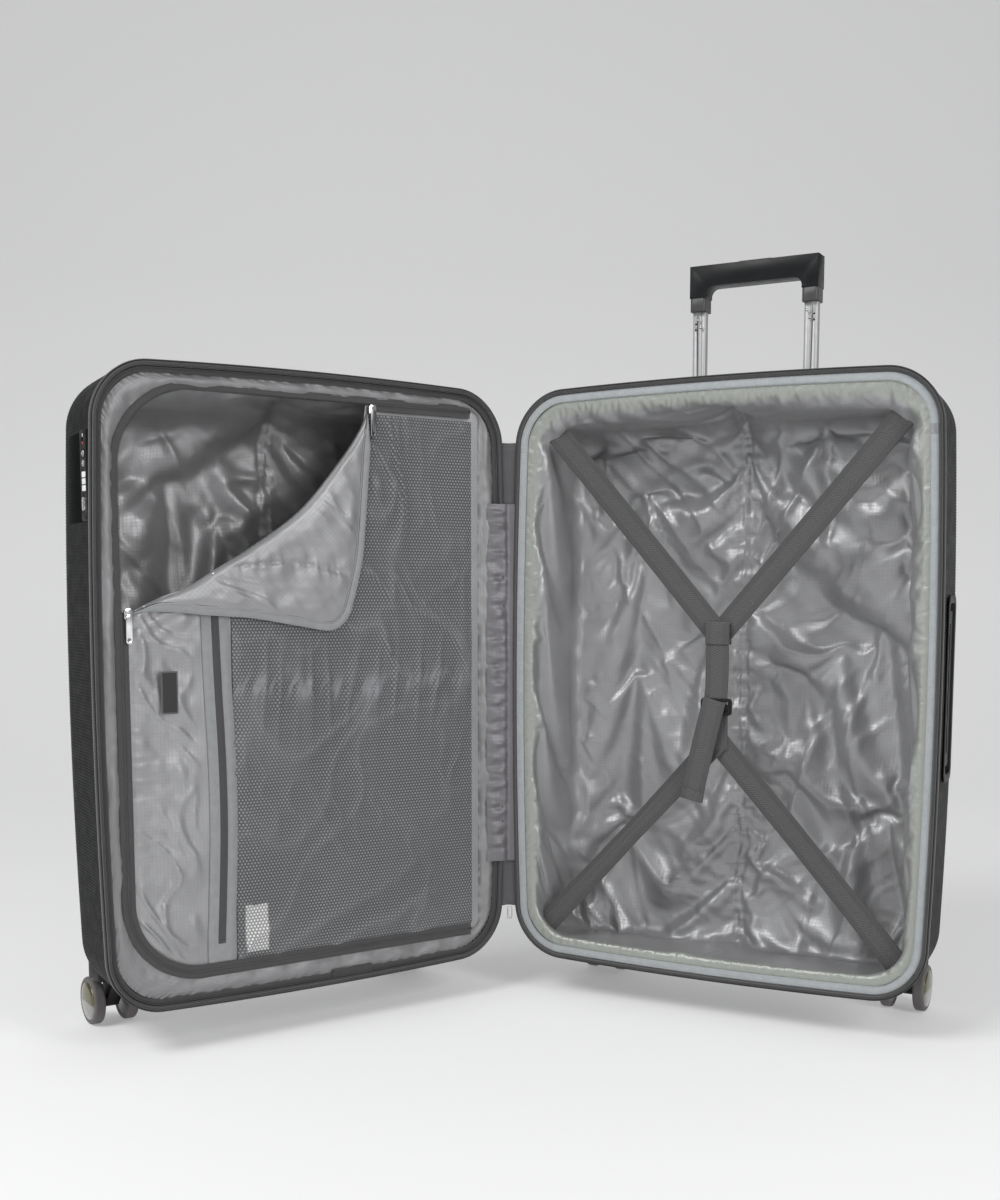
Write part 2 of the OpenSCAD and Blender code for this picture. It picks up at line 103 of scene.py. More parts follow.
low, high = local_box("base_shell", "base")
WIDTH, HEIGHT, BACK, GAP = high[0] - low[0], high[2] - low[2], high[1], low[0]
MID_X, MID_Z = GAP + WIDTH / 2, low[2] + HEIGHT / 2
SHELL_Y = low[1]
CORNER, SIDE_BOW, END_BOW = 0.060, 0.008, 0.0055
WALL, EDGE, DRAFT = 0.0022, 0.068, math.radians(3.5)

# ---- outlines and paths ----


def unit(v):
    return v / np.linalg.norm(v, axis=1)[:, None]


def beside(t):
    """Directions turned a quarter in x and z."""
    return np.stack([t[:, 2], np.zeros(len(t)), -t[:, 0]], -1)


def run_along(path):
    """How far along a path each of its points is."""
    return np.concatenate([[0], np.cumsum(np.linalg.norm(np.diff(path, axis=0), axis=1))])


def between(path, run, at):
    """Points of a path at given distances along it."""
    return np.stack([np.interp(at, run, path[:, k]) for k in range(path.shape[1])], -1)


def outline(mid, half, r, counts, bows=(0, 0)):
    """A rounded rectangle's points in x and z, from its right side over the top to the left and round.

    r is the radius of all corners or of each. counts are the points on a corner, on the top or bottom, and on a
    side. The bows draw in its corners."""
    arc, end, side = counts
    a, b = half
    r = [r] * 4 if np.ndim(r) == 0 else r
    signs = [(1, 1), (-1, 1), (-1, -1), (1, -1)]
    centres = [(sx * (a - q), sz * (b - q)) for (sx, sz), q in zip(signs, r)]
    parts = []
    for k, (cx, cz) in enumerate(centres):
        angle = TAU / 4 * (k + np.linspace(0, 1, arc, endpoint=False))
        parts.append(np.stack([cx + r[k] * np.cos(angle), cz + r[k] * np.sin(angle)], -1))
        turned, after = TAU / 4 * (k + 1), (k + 1) % 4
        start = np.array([cx + r[k] * math.cos(turned), cz + r[k] * math.sin(turned)])
        nx, nz = centres[after]
        stop = np.array([nx + r[after] * math.cos(turned), nz + r[after] * math.sin(turned)])
        t = np.linspace(0, 1, (end, side)[k % 2], endpoint=False)[:, None]
        parts.append(start + (stop - start) * t)
    return bowed(mid, half, np.concatenate(parts), bows)


def bowed(mid, half, p, bows):
    """Points about zero moved to a middle and drawn in towards the corners, by bows of the sides and ends."""
    (a, b), (side, end) = half, bows
    x = p[..., 0] * (1 - side * (p[..., 1] / b) ** 2 / a)
    z = p[..., 1] * (1 - end * (p[..., 0] / a) ** 2 / b)
    return np.stack([mid[0] + x, mid[1] + z], -1)


def ring(inset, counts):
    """The rim's outline drawn in by an inset."""
    half = WIDTH / 2 - inset, HEIGHT / 2 - inset
    return outline((MID_X, MID_Z), half, corner_at(inset), counts, (SIDE_BOW, END_BOW))


def corner_at(inset):
    return np.maximum(CORNER - 0.72 * inset, 0.004)


def at_depth(points, y):
    """Outline points in x and z as local points at a depth."""
    return np.stack([points[:, 0], np.full(len(points), y), points[:, 1]], -1)


def ring_at(y, inset, counts):
    return at_depth(ring(inset, counts), y)


def outward(points):
    """Unit vectors pointing out of a closed outline in x and z."""
    return unit(beside(np.roll(points, -1, 0) - np.roll(points, 1, 0)))


def shell_profile(front, back, inset, edge, steps):
    """Depth and inset of each ring of a drafted shell with a rounded back edge."""
    turn = back - edge
    centre = inset + math.tan(DRAFT) * (turn + edge * math.sin(DRAFT) - front) + edge * math.cos(DRAFT)
    angles = DRAFT + (TAU / 4 - DRAFT) * np.arange(steps + 1) / steps
    return [(front, inset)] + [(turn + edge * math.sin(a), centre - edge * math.cos(a)) for a in angles]


# ---- meshes ----


def grid_faces(rows, columns, wrap=False, first=0):
    """Quads of a grid of points, row by row; wrap joins each row's end to its start."""
    r, c = np.meshgrid(np.arange(rows - 1), np.arange(columns if wrap else columns - 1), indexing="ij")
    d = (c + 1) % columns
    quads = np.stack([r * columns + c, r * columns + d, (r + 1) * columns + d, (r + 1) * columns + c], -1)
    return (quads.reshape(-1, 4) + first).tolist()


def tube_faces(rows, m, closed=False):
    """Quads round rows of m points, joined into a ring or with a cap at each end."""
    faces, last = grid_faces(rows, m, wrap=True), (rows - 1) * m
    if closed:
        return faces + [[last + k, last + (k + 1) % m, (k + 1) % m, k] for k in range(m)]
    return faces + [list(range(m)), list(range(last, last + m))]


def cloth_uv(along, across):
    return np.stack(np.broadcast_arrays(along, across), -1)


def piece(name, points, faces, side, material, body=None, uv=None, smooth=True, masks=None, solid=False):
    """A mesh object from local points. It rides on the shell's body, unless body names another or is empty."""
    mesh = bpy.data.meshes.new(name)
    mesh.from_pydata(to_row(points, side).reshape(-1, 3).tolist(), [], [tuple(f) for f in faces])
    if solid:
        work = bmesh.new()
        work.from_mesh(mesh)
        bmesh.ops.recalc_face_normals(work, faces=work.faces)
        work.to_mesh(mesh)
        work.free()
    mesh.polygons.foreach_set("use_smooth", [smooth] * len(mesh.polygons))
    if uv is not None:
        layer = mesh.uv_layers.new(name="cloth")
        index = np.empty(len(mesh.loops), int)
        mesh.loops.foreach_get("vertex_index", index)
        layer.data.foreach_set("uv", np.asarray(uv, np.float32).reshape(-1, 2)[index].ravel())
    for mask, values in (masks or {}).items():
        mesh.attributes.new(mask, "FLOAT", "POINT").data.foreach_set("value", values.astype(np.float32).ravel())
    mesh.materials.append(material)
    made = bpy.data.objects.new(name, mesh)
    bpy.context.scene.collection.objects.link(made)
    if body is None:
        body = side
    if body:
        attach(made, body)
    return made


def sweep(name, path, normals, profile, side, material, closed=True):
    """Sweeps a closed profile of (along the normal, depth) pairs, in millimetres, along a path."""
    profile = np.array(profile) * MM
    points = path[:, None, :] + normals[:, None, :] * profile[None, :, 0, None]
    points = points + np.array([0, 1, 0]) * profile[None, :, 1, None]
    uv = cloth_uv(run_along(path)[:, None], run_along(profile)[None, :])
    return piece(name, points, tube_faces(len(path), len(profile), closed), side, material, uv=uv, solid=True)


BLOCK = np.array([(x, y, z) for x in (-1, 1) for y in (-1, 1) for z in (-1, 1)]) / 2
BLOCK_FACES = [(0, 1, 3, 2), (4, 6, 7, 5), (0, 4, 5, 1), (2, 3, 7, 6), (0, 2, 6, 4), (1, 5, 7, 3)]


def blocks(name, centres, along, across, size, side, material):
    """Small tapered blocks, such as zip teeth or stitches: size is along, deep and across."""
    out = np.cross(along, across)
    shape = BLOCK * np.where(BLOCK[:, 1:2] < 0, [[0.6, 1, 0.7]], [[1, 1, 1]])
    p = (centres[:, None, :] + along[:, None, :] * shape[None, :, 0, None] * size[0]
         + out[:, None, :] * shape[None, :, 1, None] * size[1]
         + across[:, None, :] * shape[None, :, 2, None] * size[2])
    faces = [[8 * i + k for k in f] for i in range(len(centres)) for f in BLOCK_FACES]
    return piece(name, p, faces, side, material, smooth=False, solid=True)


def resample(path, pitch, closed=False):
    """Points at an even pitch along a path, with the unit direction at each."""
    p = np.vstack([path, path[:1]]) if closed else path
    run = run_along(p)
    at = np.arange(pitch / 2, run[-1], pitch)
    return between(p, run, at), unit(between(p, run, at + pitch / 4) - between(p, run, at - pitch / 4))


def wrinkle(x, y, scale, seed, octaves=3):
    """Smooth noise between about -1 and 1 from sums of waves in seeded directions."""
    r = np.random.default_rng(seed)
    total, gain = 0, 1.0
    for _ in range(octaves):
        for _ in range(5):
            turn, phase = r.uniform(0, TAU, 2)
            k = TAU / scale * r.uniform(0.7, 1.4)
            total = total + gain * 0.36 * np.sin(k * (x * math.cos(turn) + y * math.sin(turn)) + phase)
        scale, gain = scale / 2, gain / 2
    return total


def creases(x, y, angle, scale, seed):
    """Long narrow creases along an angle in degrees, wandering, meeting and fading, from 0 to 1."""
    angle = np.radians(angle)
    u = x * np.cos(angle) + y * np.sin(angle)
    v = -x * np.sin(angle) + y * np.cos(angle)
    v = v + 0.4 * scale * wrinkle(u * 0.5, v, scale * 2, seed, 2)
    field = wrinkle(u * 0.35, v, scale, seed + 1, 2)
    fade = np.clip(0.5 + 0.7 * wrinkle(u * 0.6, v, scale * 2.5, seed + 2, 1), 0, 1)
    return np.exp(-np.abs(field) / 0.28) * fade


def smoothstep(lo, hi, x):
    t = np.clip((x - lo) / (hi - lo), 0, 1)
    return t * t * (3 - 2 * t)


# ---- materials ----


class Paint:
    """A node material with helpers for its patterns. Lengths in metres."""

    def __init__(self, name, roughness, metallic=0.0, cloth=False, **sockets):
        self.material = bpy.data.materials.new(name)
        self.material.use_nodes = True
        self.tree = self.material.node_tree
        self.shader = self.tree.nodes["Principled BSDF"]
        self.shader.inputs["Metallic"].default_value = metallic
        self.shader.inputs["Roughness"].default_value = roughness
        for key, value in sockets.items():
            self.shader.inputs[key.replace("_", " ")].default_value = value
        self.place = self.node("TexCoord").outputs["UV" if cloth else "Object"]
        self.split = self.node("SeparateXYZ", {0: self.place}).outputs

    def node(self, kind, inputs=None, **settings):
        made = self.tree.nodes.new("ShaderNode" + kind)
        for key, value in settings.items():
            setattr(made, key, value)
        for key, value in (inputs or {}).items():
            if isinstance(value, bpy.types.NodeSocket):
                self.tree.links.new(value, made.inputs[key])
            else:
                made.inputs[key].default_value = value
        return made

    def math(self, operation, *values):
        return self.node("Math", dict(enumerate(values)), operation=operation).outputs[0]

    def noise(self, size, detail=3.0, stretch=(1, 1, 1)):
        place = self.node("Mapping", {"Vector": self.place, "Scale": stretch}).outputs[0]
        return self.node("TexNoise", {"Vector": place, "Scale": 1 / size, "Detail": detail}).outputs["Fac"]

    def lines(self, axis, pitch):
        """Soft lines across an axis, from 0 to 1."""
        wave = self.math("SINE", self.math("MULTIPLY", self.split[axis], TAU / pitch))
        return self.math("MULTIPLY_ADD", wave, 0.5, 0.5)

    def mask(self, name):
        return self.node("Attribute", attribute_name=name).outputs["Fac"]

    def mix(self, factor, a, b):
        made = self.node("Mix", {"Factor": factor}, data_type="RGBA")
        for socket, value in ((made.inputs[6], a), (made.inputs[7], b)):
            if isinstance(value, bpy.types.NodeSocket):
                self.tree.links.new(value, socket)
            else:
                socket.default_value = (*value, 1)
        return made.outputs[2]

    def ramp(self, value, low, high):
        """Maps a value between low and high to 0 to 1."""
        return self.node("MapRange", {"Value": value, "From Min": low, "From Max": high}).outputs[0]

    def bump(self, height, depth, strength=1.0):
        """Adds a bump of a depth in metres on top of the ones before it."""
        inputs = {"Height": height, "Distance": depth, "Strength": strength}
        if self.shader.inputs["Normal"].links:
            inputs["Normal"] = self.shader.inputs["Normal"].links[0].from_socket
        out = self.node("Bump", inputs).outputs[0]
        self.tree.links.new(out, self.shader.inputs["Normal"])
        return self

    def color(self, socket):
        self.tree.links.new(socket, self.shader.inputs["Base Color"])
        return self

    def uneven(self, roughness, size, detail, spread):
        """Lets the roughness vary about its value by up to half the spread."""
        value = self.math("MULTIPLY_ADD", self.noise(size, detail), spread, roughness - spread / 2)
        self.tree.links.new(value, self.shader.inputs["Roughness"])
        return self


def shade(value, tint=(1, 1, 1)):
    return tuple(value * t for t in tint)


def moulded(name, value, roughness, grain=0.0006, depth=0.00004, tint=(1, 1, 1), coat=0.0, gloss=0.3):
    """Moulded plastic: a fine grain, faint scuffs and a little unevenness in its colour."""
    p = Paint(name, roughness, Coat_Weight=coat, Coat_Roughness=0.25, Specular_IOR_Level=gloss)
    blot = p.ramp(p.noise(0.03, 4), 0.3, 0.7)
    p.color(p.mix(blot, shade(value * 0.85, tint), shade(value * 1.15, tint)))
    p.uneven(roughness, 0.012, 5, 0.24)
    return p.bump(p.noise(grain, 2), depth).material


def metal(name, value, roughness, tint=(1, 1, 1), brushed=None, metallic=1.0):
    """Metal with faint smudges, and lines of brushing across an axis if it has them."""
    p = Paint(name, roughness, metallic=metallic)
    p.color(p.mix(p.noise(0.02, 4), shade(value * 0.9, tint), shade(value, tint)))
    p.uneven(roughness, 0.008, 4, 0.2)
    if brushed is not None:
        stretch = [3.0, 3.0, 3.0]
        stretch[brushed] = 0.05
        p.bump(p.noise(0.002, 4, stretch), 0.000006)
    return p.material


def reflection_cap(name, dark, light):
    """Bright moulded cap with a painted reflection: the masked half of its face is painted dark and the rest
    light.
    """
    p = Paint(name, 0.25, metallic=0.7, Coat_Weight=0.5)
    # Painted reflection: the masked half dark for the darker room above, the rest light for the bright floor below
    tone = p.mix(p.mask("facet"), light, dark)
    p.color(p.mix(p.math("MULTIPLY", p.noise(0.006, 4), 0.3), tone, (0.1, 0.1, 0.09)))
    p.uneven(0.25, 0.004, 4, 0.2)
    return p.bump(p.noise(0.0008, 2), 0.00002).material


def satin(name, value, roughness, creased, tint=(1, 1, 1.02), edge_value=None):
    """Thin shiny lining: a fine ripstop weave, small creases and a glossy, uneven sheen."""
    p = Paint(name, roughness, metallic=0.4, cloth=True, Sheen_Weight=0.1, Sheen_Roughness=0.4,
              Specular_IOR_Level=0.8)
    grid = p.math("MAXIMUM", p.ramp(p.lines(0, 0.0042), 0.93, 1.0), p.ramp(p.lines(1, 0.0042), 0.93, 1.0))
    blot = p.mix(p.ramp(p.noise(0.09, 4), 0.35, 0.65), shade(value * 0.9, tint), shade(value * 1.08, tint))
    color = p.mix(p.math("MULTIPLY", grid, 0.22), blot, shade(value * 0.6, tint))
    if edge_value is not None:
        color = p.mix(p.mask("edge"), color, edge_value)
    p.color(color)
    p.uneven(roughness, 0.05, 3, 0.16)
    p.bump(p.noise(0.020, 4, (1, 0.45, 1)), 0.0012, creased)
    p.bump(grid, 0.00006)
    return p.bump(p.math("MULTIPLY", p.lines(0, 0.0005), p.lines(1, 0.0005)), 0.00002).material


def tape(name, value, tint=(1, 1, 1), pitch=0.0012, depth=0.00012):
    """Woven tape: ribs across its length and threads along it."""
    p = Paint(name, 0.8, cloth=True, Sheen_Weight=0.25, Sheen_Roughness=0.6)
    ribs = p.lines(0, pitch)
    threads = p.lines(1, pitch * 0.7)
    base = p.mix(p.noise(0.01, 5), shade(value * 0.8, tint), shade(value * 1.2, tint))
    weave = p.math("MULTIPLY", p.math("MULTIPLY", ribs, threads), 0.35)
    p.color(p.mix(weave, base, shade(value * 1.7, tint)))
    return p.bump(ribs, depth).bump(threads, depth * 0.5).material


def strapping(name, value):
    """Webbing: plain ribbed sides, and a zigzag weave along its middle third."""
    p = Paint(name, 0.62, cloth=True, Sheen_Weight=0.25, Sheen_Roughness=0.5)
    off = p.math("ABSOLUTE", p.split[1])
    middle = p.ramp(off, 0.0078, 0.0068)
    lean = p.math("MULTIPLY_ADD", p.math("PINGPONG", p.split[1], 0.0036), 0.8, p.split[0])
    zigzag = p.math("MULTIPLY_ADD", p.math("SINE", p.math("MULTIPLY", lean, TAU / 0.0030)), 0.5, 0.5)
    plain = p.lines(0, 0.0014)
    weave = p.math("ADD", p.math("MULTIPLY", zigzag, middle),
                   p.math("MULTIPLY", p.math("MULTIPLY", plain, 0.35), p.math("SUBTRACT", 1.0, middle)))
    base = p.mix(p.noise(0.012, 5), shade(value * 0.85), shade(value * 1.15))
    p.color(p.mix(p.math("MULTIPLY", weave, 0.7), base, shade(value * 2.6)))
    return p.bump(weave, 0.0005).bump(p.lines(1, 0.0009), 0.00006).material


def mesh_cloth(name):
    """Knitted mesh: light hexagonal threads over dark holes. Its dark threads are painted lighter along its folds
    and seam, a painted sheen.
    """
    p = Paint(name, 0.62, cloth=True, Sheen_Weight=0.2, Specular_IOR_Level=0.4)
    cell = 0.0040
    waves = []
    for k in range(3):
        turn = TAU / 6 * k + TAU / 12
        along = p.math("ADD", p.math("MULTIPLY", p.split[0], math.cos(turn)),
                       p.math("MULTIPLY", p.split[1], math.sin(turn)))
        waves.append(p.math("COSINE", p.math("MULTIPLY", along, TAU / (cell * 0.866))))
    hexes = p.math("ADD", p.math("ADD", waves[0], waves[1]), waves[2])
    hole = p.ramp(hexes, -0.3, 1.5)
    thread = p.mix(p.noise(0.05, 4), (0.062, 0.064, 0.067), (0.085, 0.088, 0.092))
    light = p.mix(p.noise(0.11, 3), (0.20, 0.205, 0.215), (0.33, 0.34, 0.35))
    light = p.mix(p.mask("label"), light, (0.85, 0.85, 0.85))
    # Painted sheen: the dark threads painted lighter along the folds and the gathered seam
    thread = p.mix(p.mask("gather"), thread, (0.24, 0.245, 0.255))
    p.color(p.mix(hole, p.mix(p.mask("label"), thread, (0.30, 0.30, 0.30)), light))
    return p.bump(p.math("SUBTRACT", 1.0, hole), 0.0004).material


SHELL = moulded("shell_plastic", 0.006, 0.45, tint=(0.92, 1.0, 0.96), grain=0.0009, depth=0.00003, gloss=0.045)
BLACK = moulded("black_plastic", 0.010, 0.45, gloss=0.2)
GRIP = moulded("grip_plastic", 0.010, 0.36, tint=(0.95, 1.0, 1.1), grain=0.0004, gloss=0.2)
COLLAR = moulded("collar_plastic", 0.07, 0.35)
DIAL = moulded("dial_plastic", 0.72, 0.4)
NYLON = moulded("white_nylon", 0.7, 0.4)
ALUMINIUM = metal("anodised_aluminium", 0.5, 0.55, tint=(1, 1, 1.01), brushed=2, metallic=0.6)
STEEL = metal("plated_steel", 0.55, 0.3)
CHROME = metal("zip_nickel", 0.8, 0.2, tint=(1, 1, 1.02))
DARK_NICKEL = metal("zip_dark_nickel", 0.22, 0.3)
HUB = moulded("hub_plastic", 0.10, 0.35, tint=(1.0, 0.98, 0.86), coat=0.3)
TYRE = moulded("tyre_rubber", 0.13, 0.6, tint=(1.05, 0.97, 0.97), grain=0.0005)
LAMP_RED = moulded("lock_lamp", 0.5, 0.3, tint=(1.0, 0.12, 0.10), gloss=0.5)
HUB_CAP = reflection_cap("hub_cap", (0.12, 0.11, 0.035), (0.36, 0.36, 0.34))
RIM = tape("rim_tape", 0.035, tint=(1.0, 0.99, 1.0))
BASE_RIM = tape("base_rim_tape", 0.065, tint=(1.02, 0.99, 1.0))
BEAD = moulded("rim_bead", 0.05, 0.5)
TEETH = moulded("zip_teeth", 0.06, 0.4)
TRACK = tape("zip_track", 0.048, tint=(1.03, 0.99, 1.0), pitch=0.0016)
BINDING = tape("light_binding", 0.36, tint=(0.94, 1.0, 1.03), pitch=0.0018, depth=0.0002)
BORDER_TAPE = tape("border_tape", 0.27, tint=(0.97, 1.0, 1.02), pitch=0.0014)
STITCH = moulded("thread", 0.42, 0.7)
WEBBING = strapping("webbing", 0.048)
SATIN = satin("base_satin", 0.31, 0.36, 0.3, edge_value=(0.33, 0.345, 0.315))
LID_SATIN = satin("lid_satin", 0.30, 0.40, 0.25)
PANEL_SATIN = satin("panel_satin", 0.34, 0.44, 0.2)
BORDER_SATIN = satin("border_satin", 0.25, 0.46, 0.2)
HINGE_SATIN = satin("hinge_satin", 0.17, 0.46, 0.3, tint=(1.02, 0.98, 1.05))
FLAP_SATIN = satin("flap_satin", 0.31, 0.42, 0.1)
MESH = mesh_cloth("pocket_mesh")
LABEL = tape("dark_label", 0.018, pitch=0.0008, depth=0.00005)
LABEL_EDGE = tape("dark_label_edge", 0.09, pitch=0.0012, depth=0.00008)
CARE = tape("care_label", 0.75, pitch=0.001, depth=0.00005)
HINGE_TAPE = tape("hinge_tape", 0.085, tint=(1.03, 0.97, 1.05), pitch=0.0015)

# ---- camera, light and floor ----

camera = bpy.data.objects.new("camera", bpy.data.cameras.new("camera"))
bpy.context.scene.collection.objects.link(camera)
bpy.context.scene.camera = camera
camera.data.lens, camera.data.sensor_width, camera.data.shift_y = 42.84, 36, 0.12
camera.location = (0.7756, -1.4268, 0.5089)
AHEAD = Vector((-0.4799, 0.8773, 0))
DIP = math.radians(6.21)
camera.rotation_mode = "QUATERNION"
camera.rotation_quaternion = (AHEAD * math.cos(DIP) - Vector((0, 0, math.sin(DIP)))).to_track_quat("-Z", "Y")


def lamp(name, place, aim, size, power, tint=(1, 1, 1)):
    light = bpy.data.lights.new(name, "AREA")
    light.shape, light.size, light.size_y = "RECTANGLE", size[0], size[1]
    light.energy, light.color = power, tint
    made = bpy.data.objects.new(name, light)
    made.location = place
    made.rotation_euler = (Vector(aim) - Vector(place)).to_track_quat("-Z", "Y").to_euler()
    bpy.context.scene.collection.objects.link(made)


bpy.context.scene.view_settings.view_transform = "Standard"
lamp("key", (-0.7, -2.2, 2.6), (0.0, 0.15, 0.35), (1.5, 1.1), 52)
CASE_MIDDLE = (0.0, 0.1, 0.4)
lamp("left", (-1.7, -2.3, 1.0), CASE_MIDDLE, (0.7, 1.5), 10, (0.97, 0.99, 1))
lamp("right", (2.4, -0.9, 1.5), CASE_MIDDLE, (0.8, 1.6), 32)
lamp("low", (0.8, -2.6, 0.45), CASE_MIDDLE, (1.8, 0.7), 3)

world = bpy.data.worlds.new("studio")
bpy.context.scene.world = world
world.use_nodes = True
world.node_tree.nodes["Background"].inputs["Color"].default_value = (0.86, 0.87, 0.88, 1)
world.node_tree.nodes["Background"].inputs["Strength"].default_value = 0.30

# One sheet of pale paper: floor, a wide curve and a wall, square to the camera. It glows faintly, painted light,
# and the wall is painted darker higher up, painted shade.
FLOOR_BACK, FLOOR_CURVE = 1.9, 1.6
sweep_line = [(t, 0.0) for t in np.linspace(-4, FLOOR_BACK, 12)]
sweep_line += [(FLOOR_BACK + FLOOR_CURVE * math.sin(a), FLOOR_CURVE * (1 - math.cos(a)))
               for a in np.linspace(0, TAU / 4, 16)[1:]]
sweep_line += [(FLOOR_BACK + FLOOR_CURVE, z) for z in (3.0, 6.0)]
ACROSS = Vector((AHEAD.y, -AHEAD.x, 0))
paper = [tuple(AHEAD * t + ACROSS * w + Vector((0, 0, z))) for t, z in sweep_line for w in (-6, -2, 2, 6)]
# Painted light: the paper glows faintly. Painted shade: its colour darkens with height
PAPER = Paint("paper", 0.9, Specular_IOR_Level=0.2, Emission_Color=(1, 1, 1, 1), Emission_Strength=0.25)
PAPER.color(PAPER.mix(PAPER.ramp(PAPER.split[2], 0.5, 1.6), (0.76, 0.76, 0.765), (0.58, 0.58, 0.585)))
floor = piece("floor", np.array(paper), grid_faces(len(sweep_line), 4), "row", PAPER.material, body="")

# ---- the CAD's own solids that stay ----


def numbered(name, count):
    return [f"{name}_{k + 1}" for k in range(count)]


# Material, width of the rounded edges, and nodes
KEPT = [
    (BLACK, 0.0008, ["base_side_feet", "lid_side_feet", "handle_housing", "tube_bracket", "carry_handle_cups",
                     "base_caster_housings", "lid_caster_housings", "lock_body"] + numbered("fork", 4)),
    (BLACK, 0.0004, ["strap_buckle"]),
    (GRIP, 0.0016, ["grip", "top_carry_handle", "side_carry_handle", "release_button"]),
    (COLLAR, 0.0006, ["grip_collars"]),
    (ALUMINIUM, 0.0003, ["outer_tubes", "middle_tubes", "inner_tubes"]),
    (STEEL, 0.0003, ["carry_handle_pins", "base_screws", "lid_screws", "push_rods"]),
    (CHROME, 0.0004, ["divider_sliders", "side_slider_pull", "pocket_slider", "lock_button"]),
    (DARK_NICKEL, 0.0004, ["top_slider_pull"]),
    (DIAL, 0.0003, numbered("lock_dial", 3)),
    (HUB, 0.0006, numbered("wheels", 4)),
    (TYRE, 0.0008, numbered("tyres", 4)),
]
for material, edge_round, nodes in KEPT:
    for node in nodes:
        made = frame["nodes"][node]
        for place in made.material_slots:
            place.material = material
        made.data.polygons.foreach_set("use_smooth", [True] * len(made.data.polygons))
        made.modifiers.new("weld", "WELD").merge_threshold = 0.00001
        edge = made.modifiers.new("edge", "BEVEL")
        edge.width, edge.segments, edge.limit_method = edge_round, 2, "ANGLE"
        edge.angle_limit, edge.harden_normals = math.radians(40), True

# ---- shells ----

RIB, RIB_DEPTH = 0.0034, 0.0006
SHELL_COUNTS, INNER_COUNTS = (120, 16, 720), (6, 8, 20)


def round_by(counts):
    """How far round its outline each point is, with corners and sides one unit each."""
    arc, end, side = counts
    return np.concatenate([k + np.arange(c) / c for k, c in enumerate((arc, end, arc, side) * 2)])


def bridge(a, turn_a, b, turn_b):
    """Triangles between two closed loops of points, matched by how far round they are."""
    faces, i, j = [], 0, 0
    while i < len(a) or j < len(b):
        after_a = turn_a[i + 1] if i + 1 < len(a) else 8
        after_b = turn_b[j + 1] if j + 1 < len(b) else 8
        if i < len(a) and (j >= len(b) or after_a <= after_b):
            faces.append((a[i], a[(i + 1) % len(a)], b[j % len(b)]))
            i += 1
        else:
            faces.append((a[i % len(a)], b[(j + 1) % len(b)], b[j]))
            j += 1
    return faces


def prism(centre, size, r, across, along):
    """A rounded block that cuts a hole: size is across, along and through, across and along are unit vectors."""
    through = np.cross(across, along)
    rim = outline((0, 0), (size[0] / 2, size[1] / 2), r, (8, 1, 1))
    points = [np.array(centre) + x * np.array(across) + z * np.array(along) + side * size[2] / 2 * through
              for side in (-1, 1) for x, z in rim]
    return np.array(points), tube_faces(2, len(rim))


def applied(made):
    """Turns an object's modifiers into its mesh."""
    bpy.context.view_layer.update()
    whole = made.evaluated_get(bpy.context.evaluated_depsgraph_get())
    mesh = bpy.data.meshes.new_from_object(whole)
    made.modifiers.clear()
    made.data = mesh


def cut(made, side, prisms):
    """Cuts prisms out of a closed mesh."""
    for points, faces in prisms:
        tool = piece("cutter", points, faces, side, BLACK, body="", solid=True)
        step = made.modifiers.new("cut", "BOOLEAN")
        step.operation, step.solver, step.object = "DIFFERENCE", "MANIFOLD", tool
        applied(made)
        bpy.data.objects.remove(tool)


